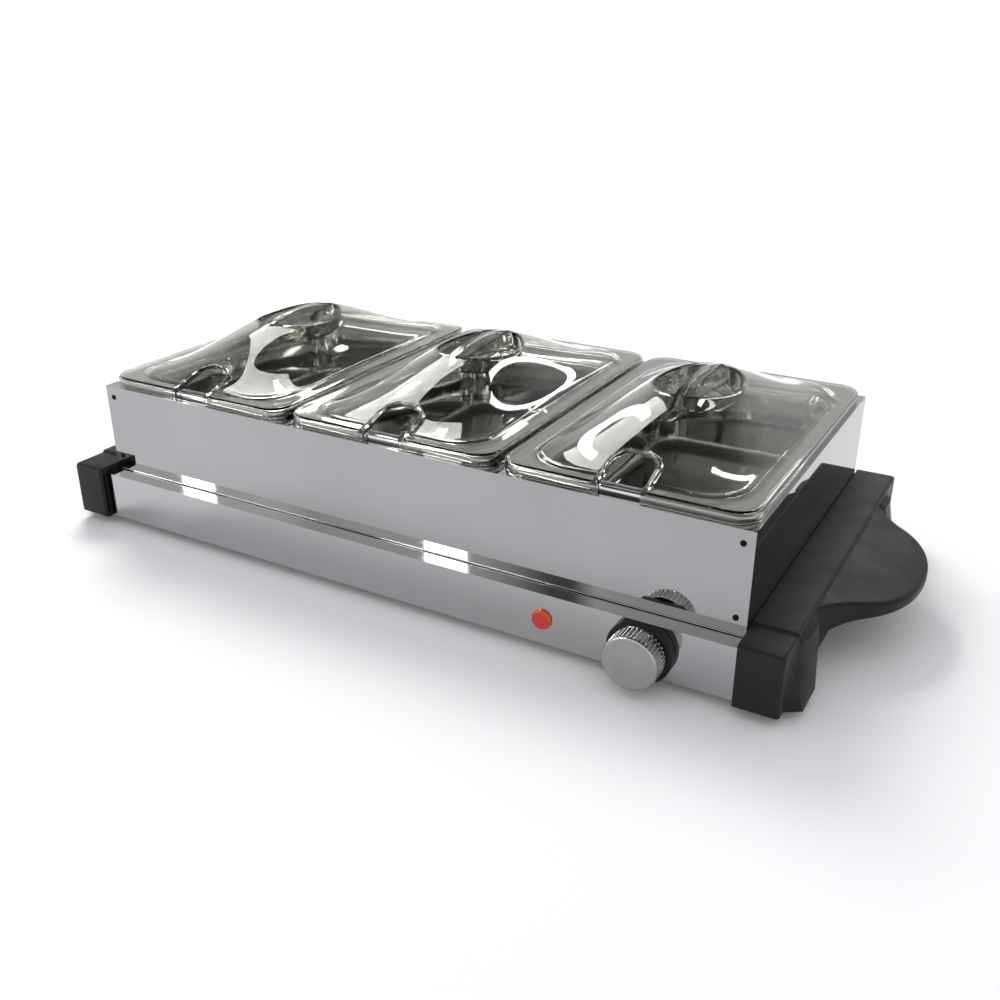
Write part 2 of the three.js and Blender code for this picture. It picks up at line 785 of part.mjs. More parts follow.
function rightCap() {
  const stepY = capFront + CAP_STEP_SETBACK;
  const bevel = 1.2;
  const profile = [
    [capFront, capBottom + bevel],
    [capFront + bevel, capBottom],
    [capRear - bevel, capBottom],
    [capRear, capBottom + bevel],
    [capRear, capTop - bevel],
    [capRear - bevel, capTop],
    [stepY + 2.5, capTop],
    [stepY, capLowTop],
    [capFront + bevel, capLowTop],
    [capFront, capLowTop - bevel],
  ];
  const socket = box(
    capInner - 1,
    shellX + CLEARANCE,
    panelFront - CLEARANCE,
    panelRear + CLEARANCE,
    0,
    baseTop + CLEARANCE,
  );
  const recess = box(
    shellX,
    capOuter - CAP_WALL,
    capFront + CAP_WALL,
    capRear - CAP_WALL,
    0,
    baseTop - CAP_WALL,
  );
  const legs = [
    capLeg(capFront + LEG_SETBACK, capFront + LEG_SETBACK + LEG_LENGTH),
    capLeg(capRear - LEG_SETBACK - LEG_LENGTH, capRear - LEG_SETBACK),
  ];
  const boss = screwY.map((y) =>
    box(
      screwX - BOSS_SIZE / 2,
      capOuter - 1,
      y - BOSS_SIZE / 2,
      y + BOSS_SIZE / 2,
      coverTop + CLEARANCE,
      coverTop + CLEARANCE + SCREW_LENGTH,
    ),
  );
  const boreTop = coverTop + SCREW_LENGTH;
  const bores = screwY.map((y) => rodZ(screwX, y, SCREW_DIAMETER + 2 * CLEARANCE, 0, boreTop, 10));
  const body = solidOf(alongX(profile, capInner, capOuter));
  const hollow = body.subtract(solidOf(socket)).subtract(solidOf(recess));
  return geometryOf(
    [...legs, ...boss, wing()]
      .map(solidOf)
      .reduce((all, next) => all.add(next), hollow)
      .subtract(join(...bores)),
  );
}

const capGeometry = rightCap();
place("end_cap_right", capGeometry, "cap");
place("end_cap_left", geometryOf(solidOf(capGeometry).mirror([1, 0, 0])), "cap");

// ---- Pan frame: four riveted walls and two crossbars --------------------------------------
function frontWall() {
  const angle = [
    [-frameY, frameBottom],
    [-frameY + SHEET, frameBottom],
    [-frameY + SHEET, frameTop - SHEET],
    [-frameY + FLANGE, frameTop - SHEET],
    [-frameY + FLANGE, frameTop],
    [-frameY, frameTop],
  ];
  return cut(alongX(angle, -frameX, frameX), ...rivetHoles(-1));
}

const rivetX = frameX - RIVET_SIDE;
const rivetZ = [frameTop - RIVET_TOP, frameBottom + RIVET_BOTTOM];

function rivetHoles(end) {
  return sides.flatMap(([, side]) =>
    rivetZ.map((z) => {
      const y = end * (frameY - 2);
      return rodY(side * rivetX, z, RIVET_DIAMETER + 2 * CLEARANCE, y - 4, y + 4, 10);
    }),
  );
}

function rightSide() {
  const angle = [
    [frameX - SHEET, frameBottom],
    [frameX, frameBottom],
    [frameX, frameTop],
    [frameX - SIDE_FLANGE, frameTop],
    [frameX - SIDE_FLANGE, frameTop - SHEET],
    [frameX - SHEET, frameTop - SHEET],
  ];
  const reach = frameY - SHEET - CLEARANCE;
  const wall = alongY(angle, -reach, reach);
  const tabTop = frameTop - SHEET - CLEARANCE;
  const tabs = [-1, 1].map((end) => {
    const y = [end * reach, end * (reach - SHEET)].sort((a, b) => a - b);
    return box(frameX - CORNER_TAB, frameX - SHEET / 2, ...y, frameBottom, tabTop);
  });
  const corners = [-1, 1].map((end) => {
    const y = [end * (frameY + 1), end * (frameY - FLANGE - CLEARANCE)].sort((a, b) => a - b);
    return box(0, frameX + 1, ...y, tabTop, frameTop + 1);
  });
  const trimmed = corners.reduce((left, corner) => left.subtract(solidOf(corner)), join(wall, ...tabs));
  return cut(geometryOf(trimmed), ...rivetHoles(-1), ...rivetHoles(1));
}

function crossbar() {
  const half = CROSSBAR_WIDTH / 2;
  const top = frameTop;
  const web = [
    [-half, top - CROSSBAR_WEB],
    [-half + SHEET, top - CROSSBAR_WEB],
    [-half + SHEET, top - SHEET],
    [half - SHEET, top - SHEET],
    [half - SHEET, top - CROSSBAR_WEB],
    [half, top - CROSSBAR_WEB],
    [half, top],
    [-half, top],
  ];
  const reach = frameY - FLANGE - CLEARANCE;
  const end = frameY - 3;
  const low = top - SHEET - CLEARANCE;
  const tongue = alongY(
    web.map(([x, z]) => [x, z - SHEET - CLEARANCE]),
    -end,
    end,
  );
  const clear = box(-half - 1, half + 1, -frameY, frameY, low, top + 1);
  const middle = alongY(web, -reach, reach);
  return geometryOf(solidOf(tongue).subtract(solidOf(clear)).add(solidOf(middle)));
}

function rivet() {
  const shank = RIVET_DIAMETER / 2;
  const head = RIVET_HEAD / 2;
  const grip = 2 * SHEET + 3 * CLEARANCE;
  return turned(
    [
      [0, -grip - 0.9],
      [head - 0.3, -grip - 0.9],
      [head, -grip],
      [shank, -grip],
      [shank, CLEARANCE / 2],
      [head, CLEARANCE / 2],
      [head - 0.8, 0.8],
      [0, 1],
    ],
    10,
  );
}

place("frame_front", frontWall(), "polished");
place("frame_rear", geometryOf(solidOf(frontWall()).mirror([0, 1, 0])), "polished");
place("frame_side_right", rightSide(), "polished");
place("frame_side_left", geometryOf(solidOf(rightSide()).mirror([1, 0, 0])), "polished");
for (let i = 1; i < PAN_COUNT; i++) {
  place(`crossbar_${i}`, crossbar(), "polished", -frameX + i * pitch);
}
for (const [side, sign] of sides) {
  for (const [end, row] of ends) {
    rivetZ.forEach((z, level) => {
      const facing = row === 0 ? -1 : 1;
      const mesh = place(
        `rivet_${end}_${side}_${level === 0 ? "upper" : "lower"}`,
        rivet(),
        "black",
        sign * rivetX,
        facing * frameY,
        z,
      );
      mesh.rotation.x = row === 0 ? Math.PI : 0;
    });
  }
}

// ---- Pans ---------------------------------------------------------------------------------
function pan() {
  const perCorner = 5;
  const ring = (dx, dy, radius, z) => ({
    points: roundedRectangle(mouthX + dx, mouthY + dy, radius, perCorner),
    z,
  });
  const taper = -PAN_TAPER;
  const turn = 0.3 * PAN_FLOOR_RADIUS; // where the round meets the floor at about 45 degrees
  const overX = PAN_RIM_OVERHANG;
  const overY = PAN_RIM_OVERHANG_Y;
  const rimCorner = LID_CORNER - LID_WALL - CLEARANCE;
  const round = PAN_FLOOR_RADIUS;
  const low = lidBottom;
  const under = rimTop - SHEET;
  const w = PAN_WALL;
  const edge = PAN_RIM_EDGE;
  return loft([
    ring(taper - round + w, taper - round + w, PAN_CORNER - round, panFloor - w),
    ring(taper - turn + w, taper - turn + w, PAN_CORNER - turn, panFloor + turn - w),
    ring(taper + w, taper + w, PAN_CORNER, panFloor + round),
    ring(w, w, PAN_CORNER, under),
    ring(overX - w, overY - w, rimCorner - w, under),
    ring(overX - w, overY - w, rimCorner - w, low),
    ring(overX, overY, rimCorner, low),
    ring(overX, overY, rimCorner, rimTop - edge),
    ring(overX - edge, overY - edge, rimCorner - edge, rimTop),
    ring(0, 0, PAN_CORNER, rimTop),
    ring(taper, taper, PAN_CORNER, panFloor + round),
    ring(taper - turn, taper - turn, PAN_CORNER - turn, panFloor + turn),
    ring(taper - round, taper - round, PAN_CORNER - round, panFloor),
  ]);
}

// ---- Lids ---------------------------------------------------------------------------------
const domeX = lidX - DOME_INSET_X;
const domeY = lidY - DOME_INSET_Y;

function domeRing(share, z) {
  const base = roundedRectangle(domeX, domeY, LID_CORNER, 8);
  const power = DOME_SQUARENESS;
  const points = base.map(([x, y]) => {
    const norm = (Math.abs(x / domeX) ** power + Math.abs(y / domeY) ** power) ** (1 / power);
    return [(x * share) / norm, (y * share) / norm];
  });
  return { points, z };
}

const domeSection = (share) => Math.max(0, 1 - Math.abs(share) ** DOME_ROUNDNESS) ** DOME_FOOT;
const domeHeight = (x, y) => DOME_RISE * domeSection(x / domeX) * domeSection(y / domeY);

// The space under a lid's skin, from the level z up, shrunk sideways and lowered by a wall.
function lidBulk(z, wall) {
  const flange = lidFlange - wall;
  const outer = (shrink) => roundedRectangle(lidX - shrink, lidY - shrink, LID_CORNER - shrink, 8);
  const shares = [0.92, 0.8, 0.65, 0.48, 0.3, 0.12];
  return loft([
    { points: outer(wall), z },
    { points: outer(wall), z: flange - 0.8 },
    { points: outer(wall + 0.8), z: flange },
    domeRing(1, flange),
    ...shares.map((share) => domeRing(share, (x, y) => flange + domeHeight(x, y))),
  ]);
}

// One half of the oval recess, beside the upright web that the fingers pinch.
function gripLobe(side) {
  const shape = new THREE.Shape();
  const a = GRIP_WIDTH / 2;
  const b = GRIP_LENGTH / 2;
  const start = Math.acos(GRIP_WEB / 2 / a);
  shape.absellipse(0, 0, a, b, -start, start, false, 0);
  const lobe = extruded(shape, 60, 9).translate(0, 0, lidTop - GRIP_DEPTH);
  return side > 0 ? lobe : lobe.rotateZ(Math.PI);
}

function gripWell() {
  const shape = new THREE.Shape();
  shape.absellipse(0, 0, GRIP_WIDTH / 2 + LID_WALL, GRIP_LENGTH / 2 + LID_WALL, 0, Math.PI * 2, false, 0);
  return extruded(shape, 60, 12).translate(0, 0, lidTop - GRIP_DEPTH - LID_WALL);
}

function ladleOpening(grow) {
  const half = NOTCH_WIDTH / 2 + grow;
  const rear = -lidY + NOTCH_LENGTH + grow;
  const r = NOTCH_CORNER + grow;
  const shape = new THREE.Shape();
  shape.moveTo(-half, -lidY - 2);
  shape.lineTo(half, -lidY - 2);
  shape.lineTo(half, rear - r);
  shape.absarc(half - r, rear - r, r, 0, Math.PI / 2, false);
  shape.absarc(-half + r, rear - r, r, Math.PI / 2, Math.PI, false);
  return extruded(shape, 80, 5).translate(0, 0, lidBottom - 1);
}

function lid() {
  const outside = lidBulk(lidBottom, 0);
  const inside = lidBulk(lidBottom - 1, LID_WALL);
  const skin = solidOf(outside).subtract(join(gripLobe(1), gripLobe(-1)));
  const hollow = solidOf(inside).subtract(solidOf(gripWell()));
  const raised = solidOf(outside).translate([0, 0, NOTCH_RIM_RISE]);
  const opening = solidOf(ladleOpening(0));
  const rim = solidOf(ladleOpening(NOTCH_RIM)).intersect(raised).subtract(hollow);
  return geometryOf(skin.subtract(hollow).add(rim).subtract(opening));
}

const panNames = ["left", "middle", "right"];
for (let i = 0; i < PAN_COUNT; i++) {
  const x = -frameX + (i + 0.5) * pitch;
  const name = panNames[i] ?? String(i + 1);
  place(`pan_${name}`, pan(), "polished", x);
  place(`lid_${name}`, lid(), "smoke", x);
}

// ---- Control knob -------------------------------------------------------------------------
function flutedCircle(radius, depth) {
  const points = [];
  const steps = KNOB_FLUTES * 4;
  for (let i = 0; i < steps; i++) {
    const angle = (i / steps) * Math.PI * 2;
    const r = radius - depth * (0.5 - 0.5 * Math.cos(KNOB_FLUTES * angle));
    points.push([r * Math.cos(angle), r * Math.sin(angle)]);
  }
  return points;
}

const coreDiameter = KNOB_DIAMETER - 2 * KNOB_WALL - 2 - 2 * CLEARANCE;

function knobCap() {
  const fluted = flutedCircle(KNOB_DIAMETER / 2, KNOB_FLUTE_DEPTH);
  const skin = alongY(fluted, knobFront, knobRear).translate(KNOB_X, 0, panelMiddle);
  const cavity = coreDiameter + 2 * CLEARANCE;
  return cut(skin, rodY(KNOB_X, panelMiddle, cavity, knobFront + KNOB_WALL, knobRear + 1, 28));
}

const coreFront = knobFront + KNOB_WALL + CLEARANCE;
const shaftFront = coreFront + 3;

place("knob_cap", knobCap(), "chrome");
place(
  "knob_core",
  cut(
    rodY(KNOB_X, panelMiddle, coreDiameter, coreFront, knobRear - 0.3, 28),
    rodY(KNOB_X, panelMiddle, SHAFT_DIAMETER + 2 * CLEARANCE, shaftFront - CLEARANCE, knobRear + 1, 16),
  ),
  "black",
);
place(
  "thermostat_shaft",
  rodY(KNOB_X, panelMiddle, SHAFT_DIAMETER, shaftFront, thermostatFront + SHAFT_SEAT, 16),
  "brass",
);

// The origin lies below the middle of the whole object, which the knob and the caps bound.
assembly.position.y = -(Math.min(knobFront, capFront) + capRear) / 2;

export default server;
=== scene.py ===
"""Looks of the three-pan electric buffet server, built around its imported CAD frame.

Metres, +Z up, the control panel facing -Y. Every place comes from the frame's own boxes.
"""

import json
import math

import bmesh
import bpy
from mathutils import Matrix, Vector


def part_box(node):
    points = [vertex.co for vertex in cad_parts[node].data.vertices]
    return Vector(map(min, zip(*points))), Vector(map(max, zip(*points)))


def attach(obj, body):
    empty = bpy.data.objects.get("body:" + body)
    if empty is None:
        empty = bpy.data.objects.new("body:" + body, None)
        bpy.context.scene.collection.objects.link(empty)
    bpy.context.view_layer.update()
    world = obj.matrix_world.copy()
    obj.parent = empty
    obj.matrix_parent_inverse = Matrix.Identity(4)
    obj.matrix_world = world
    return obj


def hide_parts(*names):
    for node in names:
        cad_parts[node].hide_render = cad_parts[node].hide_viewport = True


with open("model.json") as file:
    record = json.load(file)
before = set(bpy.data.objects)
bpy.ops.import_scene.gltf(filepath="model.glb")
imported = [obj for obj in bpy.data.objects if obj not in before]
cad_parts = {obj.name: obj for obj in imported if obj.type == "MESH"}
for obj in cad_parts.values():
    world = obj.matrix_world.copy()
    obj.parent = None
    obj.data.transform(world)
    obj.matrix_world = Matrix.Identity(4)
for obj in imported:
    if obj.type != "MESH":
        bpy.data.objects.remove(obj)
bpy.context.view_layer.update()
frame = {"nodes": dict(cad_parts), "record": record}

MM = 0.001
SIDES = (("left", -1), ("right", 1))
ENDS = ("front", "rear")
PANS = ("left", "middle", "right")


# ---- Node material helpers -----------------------------------------------------------------
class Surface:
    """A Principled material with short calls for the procedural detail that feeds it."""

    def __init__(self, name, color, roughness, **sockets):
        self.material = bpy.data.materials.new(name)
        self.material.use_nodes = True
        self.tree = self.material.node_tree
        self.shader = self.tree.nodes["Principled BSDF"]
        self.shader.inputs["Base Color"].default_value = (*color, 1)
        self.shader.inputs["Roughness"].default_value = roughness
        for socket, value in sockets.items():
            self.shader.inputs[socket.replace("_", " ")].default_value = value
        self.place = self.tree.nodes.new("ShaderNodeTexCoord").outputs["Object"]
        self.normal = None

    def node(self, kind, **settings):
        made = self.tree.nodes.new(kind)
        for key, value in settings.items():
            if isinstance(value, bpy.types.NodeSocket):
                self.tree.links.new(value, made.inputs[key])
            elif key in made.inputs:
                made.inputs[key].default_value = value
            else:
                setattr(made, key, value)
        return made

    def stretched(self, x, y, z):
        mapping = self.node("ShaderNodeMapping", Vector=self.place)
        mapping.inputs["Scale"].default_value = (x, y, z)
        return mapping.outputs["Vector"]

    def noise(self, scale, detail=3.0, place=None):
        made = self.node("ShaderNodeTexNoise", Scale=scale, Detail=detail, Vector=place or self.place)
        return made.outputs["Fac"]

    def ramp(self, value, low, high, start=0.3, end=0.7):
        made = self.node("ShaderNodeMapRange", Value=value)
        for key, number in (("From Min", start), ("From Max", end), ("To Min", low), ("To Max", high)):
            made.inputs[key].default_value = number
        return made.outputs["Result"]

    def colors(self, value, low, high, start=0.35, end=0.65):
        made = self.tree.nodes.new("ShaderNodeValToRGB")
        made.color_ramp.elements[0].position = start
        made.color_ramp.elements[1].position = end
        made.color_ramp.elements[0].color = (*low, 1)
        made.color_ramp.elements[1].color = (*high, 1)
        self.tree.links.new(value, made.inputs["Fac"])
        self.tree.links.new(made.outputs["Color"], self.shader.inputs["Base Color"])

    def roughness(self, value):
        self.tree.links.new(value, self.shader.inputs["Roughness"])

    def bump(self, height, distance, strength=1.0):
        made = self.node("ShaderNodeBump", Strength=strength, Distance=distance, Height=height)
        if self.normal:
            self.tree.links.new(self.normal, made.inputs["Normal"])
        self.normal = made.outputs["Normal"]
        self.tree.links.new(self.normal, self.shader.inputs["Normal"])


def polished_steel(name, color=(0.37, 0.362, 0.37), roughness=0.02):
    """Bright sheet: faint clouding, hairline scratches and a slight unevenness of the sheet."""
    steel = Surface(name, color, roughness, Metallic=1.0)
    cloud = steel.noise(9, 4)
    steel.colors(cloud, [c * 0.97 for c in color], [c * 1.03 for c in color])
    hairline = steel.noise(420, 2, steel.stretched(0.03, 1, 1))
    streak = steel.node("ShaderNodeMath", operation="ADD")
    steel.tree.links.new(steel.ramp(cloud, 0, roughness * 0.6), streak.inputs[0])
    steel.tree.links.new(steel.ramp(hairline, roughness * 0.7, roughness * 1.25), streak.inputs[1])
    steel.roughness(streak.outputs[0])
    steel.bump(steel.noise(5, 1), 0.0006, 0.12)
    return steel.material


FOLD_HIGHLIGHT_BAND = (0.3, 0.84)  # upward lean of the panel's folded top edge, given a painted highlight
FOLD_HIGHLIGHT_COLOR = (0.92, 0.92, 0.92)


def deck_steel():
    """The hot plate's mirror finish on top, and a duller front panel, in one folded sheet; faces turned from up get a
    darker grey as painted shade, and the fold a painted highlight.
    """
    mirror, panel_shade_grey = (0.5, 0.515, 0.51), (0.44, 0.43, 0.44)
    steel = Surface("deck_steel", mirror, 0.01, Metallic=1.0)
    upward = steel.node("ShaderNodeSeparateXYZ", Vector=steel.node("ShaderNodeNewGeometry").outputs["Normal"])
    # Painted shade: faces turned away from up get a darker grey than the mirror top.
    steel.colors(upward.outputs["Z"], panel_shade_grey, mirror, 0.12, 0.9)
    # Painted highlight: faces at the fold's lean get a near-white base colour in the ramp by face direction.
    fold_highlight_stops = steel.shader.inputs["Base Color"].links[0].from_node.color_ramp.elements
    for place in FOLD_HIGHLIGHT_BAND:
        fold_highlight_stops.new(place).color = (*FOLD_HIGHLIGHT_COLOR, 1)
    cloud = steel.noise(9, 4)
    satin = steel.node("ShaderNodeMapRange", Value=upward.outputs["Z"])
    for key, number in (("From Min", 0.3), ("From Max", 0.8), ("To Min", 0.06), ("To Max", 0.0)):
        satin.inputs[key].default_value = number
    streak = steel.node("ShaderNodeMath", operation="ADD")
    steel.tree.links.new(steel.ramp(cloud, 0.004, 0.02), streak.inputs[0])
    steel.tree.links.new(satin.outputs["Result"], streak.inputs[1])
    steel.roughness(streak.outputs[0])
    steel.bump(steel.noise(5, 1), 0.0006, 0.1)
    return steel.material


def pan_steel():
    """Deep-drawn steel: brighter, with fine draw lines."""
    color = (0.58, 0.58, 0.57)
    steel = Surface("drawn_steel", color, 0.06, Metallic=1.0)
    cloud = steel.noise(14, 4)
    steel.colors(cloud, [c * 0.93 for c in color], [c * 1.04 for c in color])
    lines = steel.noise(300, 2, steel.stretched(1, 0.04, 0.3))
    steel.roughness(steel.ramp(lines, 0.03, 0.08))
    steel.bump(steel.noise(22, 2), 0.0005, 0.2)
    steel.bump(lines, 0.000005, 0.4)
    return steel.material


def galvanised():
    """Zinc-coated steel with its crystal spangle."""
    zinc = Surface("galvanised_steel", (0.5, 0.52, 0.54), 0.42, Metallic=1.0)
    cell = zinc.node("ShaderNodeTexVoronoi", Scale=140, Vector=zinc.place)
    grey = zinc.node("ShaderNodeSeparateColor", Color=cell.outputs["Color"])
    zinc.colors(grey.outputs[0], (0.42, 0.44, 0.46), (0.58, 0.6, 0.62), 0.1, 0.9)
    zinc.roughness(zinc.ramp(grey.outputs[1], 0.34, 0.5, 0, 1))
    zinc.bump(zinc.noise(900, 2), 0.00002, 0.4)
    return zinc.material


def moulded(name, color, roughness, grain=0.00003, scale=1500, gloss=0.3):
    """Injection-moulded plastic with a fine spark-eroded grain and faint handling marks."""
    plastic = Surface(name, color, roughness, Specular_IOR_Level=gloss)
    cloud = plastic.noise(16, 3)
    plastic.colors(cloud, [c * 0.9 for c in color], [c * 1.12 for c in color])
    plastic.roughness(plastic.ramp(plastic.noise(60, 4), roughness - 0.05, roughness + 0.06))
    plastic.bump(plastic.noise(scale, 2), grain, 0.5)
    return plastic.material


def smoke_clear():
    """Smoke-tinted clear moulding, glossy, with the faintest ripple."""
    tint = (0.66, 0.665, 0.625)
    clear = Surface("smoke_clear", tint, 0.02, IOR=1.49)
    clear.shader.inputs["Transmission Weight"].default_value = 1.0
    clear.colors(clear.noise(12, 2), [c * 0.97 for c in tint], [min(1, c * 1.02) for c in tint])
    clear.roughness(clear.ramp(clear.noise(500, 2, clear.stretched(1, 0.1, 1)), 0.002, 0.012))
    clear.bump(clear.noise(26, 1), 0.0001, 0.15)
    return clear.material


def chrome():
    """Satin chrome plating."""
    plate = Surface("satin_chrome", (0.35, 0.35, 0.355), 0.08, Metallic=1.0)
    plate.colors(plate.noise(120, 3), (0.34, 0.34, 0.345), (0.36, 0.36, 0.365))
    plate.roughness(plate.ramp(plate.noise(700, 2), 0.04, 0.1))
    plate.bump(plate.noise(2500, 1), 0.000004, 0.4)
    return plate.material


def turned_brass():
    brass = Surface("turned_brass", (0.68, 0.5, 0.22), 0.28, Metallic=1.0)
    lines = brass.noise(900, 2, brass.stretched(0.05, 1, 0.05))
    brass.colors(lines, (0.6, 0.44, 0.19), (0.74, 0.55, 0.26))
    brass.roughness(brass.ramp(lines, 0.2, 0.36))
    return brass.material


def lamp_lens():
    """Translucent red lens, orange where the light gathers at its rim."""
    lens = Surface("lamp_lens", (0.5, 0.03, 0.03), 0.22)
    lens.shader.inputs["Coat Weight"].default_value = 0.2
    lens.shader.inputs["Coat Roughness"].default_value = 0.08
    lens.shader.inputs["Emission Strength"].default_value = 0.04
    lens.shader.inputs["Emission Color"].default_value = (1.0, 0.1, 0.02, 1)
    facing = lens.node("ShaderNodeSeparateXYZ", Vector=lens.node("ShaderNodeNewGeometry").outputs["Normal"])
    side = lens.node("ShaderNodeMath", operation="ABSOLUTE")
    lens.tree.links.new(facing.outputs["Y"], side.inputs[0])
    lens.colors(side.outputs[0], (0.85, 0.13, 0.0), (0.5, 0.016, 0.018), 0.35, 0.95)
    lens.bump(lens.noise(900, 1), 0.00002, 0.3)
    return lens.material


def fibrous(name, low, high, scale, roughness):
    """Mica board, steatite or braided sleeving: matt, mottled and slightly rough."""
    matt = Surface(name, low, roughness)
    matt.colors(matt.noise(scale, 5), low, high)
    matt.bump(matt.noise(scale * 3, 3), 0.0001, 0.6)
    return matt.material


FAR_REACH = (0.6, 1.5)  # metres from the origin where the backdrop's own light takes over
FAR_GLOW = 0.55


def pale_floor():
    floor = Surface("pale_floor", (0.93, 0.93, 0.935), 0.6)
    floor.shader.inputs["Specular IOR Level"].default_value = 0.1
    floor.colors(floor.noise(3, 2), (0.925, 0.925, 0.93), (0.935, 0.935, 0.94))
    away = floor.node("ShaderNodeVectorMath", operation="LENGTH")
    floor.tree.links.new(floor.place, away.inputs[0])
    floor.tree.links.new(
        floor.ramp(away.outputs["Value"], 0.0, FAR_GLOW, *FAR_REACH), floor.shader.inputs["Emission Strength"]
    )
    floor.shader.inputs["Emission Color"].default_value = (1, 1, 1, 1)
    return floor.material


steel = polished_steel("polished_steel")
mirror_steel = deck_steel()
drawn = pan_steel()
cap_plastic = moulded("charcoal_plastic", (0.018, 0.019, 0.021), 0.42, gloss=0.14)
black_plastic = moulded("black_plastic", (0.01, 0.01, 0.011), 0.4, gloss=0.2)
rivet_black = moulded("rivet_black", (0.004, 0.004, 0.0045), 0.4, gloss=0.08)
rubber = moulded("black_rubber", (0.014, 0.014, 0.014), 0.75, 0.00006, 900)
smoke = smoke_clear()
plated = chrome()
lens_red = lamp_lens()
zinc = galvanised()
SLOT_MATERIALS = {
    "polished_steel": steel,
    "galvanised": zinc,
    "spreader": polished_steel("spreader_aluminium", (0.7, 0.71, 0.72), 0.3),
    "chrome_trim": plated,
    "brass": turned_brass(),
    "cap_plastic": cap_plastic,
    "black_plastic": black_plastic,
    "rubber": rubber,
    "smoke_plastic": smoke,
    "lamp_red": lens_red,
    "mica": fibrous("mica_board", (0.5, 0.44, 0.32), (0.68, 0.62, 0.48), 120, 0.75),
    "ceramic": fibrous("steatite", (0.72, 0.7, 0.64), (0.82, 0.8, 0.75), 60, 0.55),
    "wire_sleeve": fibrous("braided_sleeve", (0.6, 0.57, 0.5), (0.8, 0.77, 0.7), 700, 0.85),
}


# ---- Mesh helpers --------------------------------------------------------------------------
def spaced(start, end, count):
    return [start + (end - start) * i / (count - 1) for i in range(count)]


def smoothstep(value):
    t = min(1.0, max(0.0, value))
    return t * t * (3 - 2 * t)


def arc(cx, cy, radius, start, end, count):
    """Points of a circular arc, the angles in degrees."""
    angles = [math.radians(a) for a in spaced(start, end, count)]
    return [(cx + radius * math.cos(a), cy + radius * math.sin(a)) for a in angles]


def loft(rings, closed=True, cap_first=True, cap_last=True, loop=False):
    """Vertices and faces through rings of equal count; loop joins the last ring to the first."""
    count = len(rings[0])
    faces = []
    for r in range(len(rings) if loop else len(rings) - 1):
        here, there = r * count, (r + 1) % len(rings) * count
        for i in range(count if closed else count - 1):
            j = (i + 1) % count
            faces.append((here + i, here + j, there + j, there + i))
    if cap_first and not loop:
        faces.append(tuple(range(count)))
    if cap_last and not loop:
        faces.append(tuple(range((len(rings) - 1) * count, len(rings) * count)))
    return [Vector(p) for ring in rings for p in ring], faces


def solid(name, verts, faces, material, sharp=40):
    """A named mesh object with outward faces, smooth below the angle given in degrees."""
    mesh = bpy.data.meshes.new(name)
    mesh.from_pydata([tuple(v) for v in verts], [], faces)
    work = bmesh.new()
    work.from_mesh(mesh)
    bmesh.ops.remove_doubles(work, verts=work.verts, dist=1e-6)
    bmesh.ops.recalc_face_normals(work, faces=work.faces)
    work.to_mesh(mesh)
    work.free()
    mesh.materials.append(material)
    piece = bpy.data.objects.new(name, mesh)
    bpy.context.scene.collection.objects.link(piece)
    shade(piece, sharp)
    return piece


def shade(piece, sharp):
    piece.data.shade_smooth()
    piece.data.set_sharp_from_angle(angle=math.radians(sharp))


def settle(piece):
    """Replaces a piece's mesh by what its modifiers make of it."""
    graph = bpy.context.evaluated_depsgraph_get()
    mesh = bpy.data.meshes.new_from_object(piece.evaluated_get(graph))
    piece.modifiers.clear()
    piece.data = mesh


def cut(piece, tools):
    """Boolean difference by each tool, which is then removed."""
    for tool in tools:
        step = piece.modifiers.new("cut", "BOOLEAN")
        step.operation = "DIFFERENCE"
        step.solver = "EXACT"
        step.object = tool
    settle(piece)
    for tool in tools:
        bpy.data.objects.remove(tool)


def block(x0, x1, y0, y1, z0, z1):
    rings = [[(x, y0, z0), (x, y1, z0), (x, y1, z1), (x, y0, z1)] for x in (x0, x1)]
    return solid("tool", *loft(rings), None)


def turned(name, profile, axis, centre, material, sides=64, sharp=35):
    """A turned piece: profile is [(radius, distance along axis)], open profiles end on the axis."""
    rings = []
    for i in range(sides):
        angle = 2 * math.pi * i / sides
        ring = []
        for radius, along in profile:
            u, v = radius * math.cos(angle), radius * math.sin(angle)
            offset = (u, along, v) if axis == "Y" else (u, v, along)
            ring.append(Vector(centre) + Vector(offset))
        rings.append(ring)
    on_axis = profile[0][0] == 0
    return solid(name, *loft(rings, closed=not on_axis, loop=True), material, sharp)


def belongs(piece, body, slot, *nodes):
    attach(piece, body)
    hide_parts(*nodes)
    return piece


def mirrored(verts, side):
    return [Vector((side * v.x, v.y, v.z)) for v in verts]


# ---- Places from the frame -----------------------------------------------------------------
shell_low, shell_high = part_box("base_shell")
cap_low, cap_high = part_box("end_cap_right")
front_low, front_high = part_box("frame_front")
bezel_low, bezel_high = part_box("knob_bezel")
knob_low, knob_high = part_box("knob_cap")
lens_low, lens_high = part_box("indicator_lens")
knob_centre = (knob_low + knob_high) / 2
deck = shell_high.z
panel = shell_low.y

# ---- End caps with wing handles ------------------------------------------------------------
CAP_OUTER = 289 * MM  # outer face of the cap's body
CAP_STEP_SETBACK = 28 * MM
CAP_STEP = 1.7 * MM
CAP_WALL = 3 * MM
CAP_REACH_IN = 0.85 * MM  # the skin comes this much nearer the frame than the CAD solid
CAP_NOSE = 3.2 * MM  # edge rounding at the two ends
LEG_SETBACK = 10 * MM
LEG_LENGTH = 33 * MM
LEG_FLARE = 10 * MM
LEG_EASE = 7 * MM  # length over which the flare begins
WING_DROP = 2.2 * MM
WING_DROOP = 6.5 * MM
WING_WALL = 3 * MM
WING_ROOT = 90 * MM  # half its length along the cap
WING_SKIRT_ROOT = 25 * MM  # level of the rim's lower edge
WING_SKIRT_TIP = 35 * MM
wing_middle = (front_low.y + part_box("frame_rear")[1].y) / 2


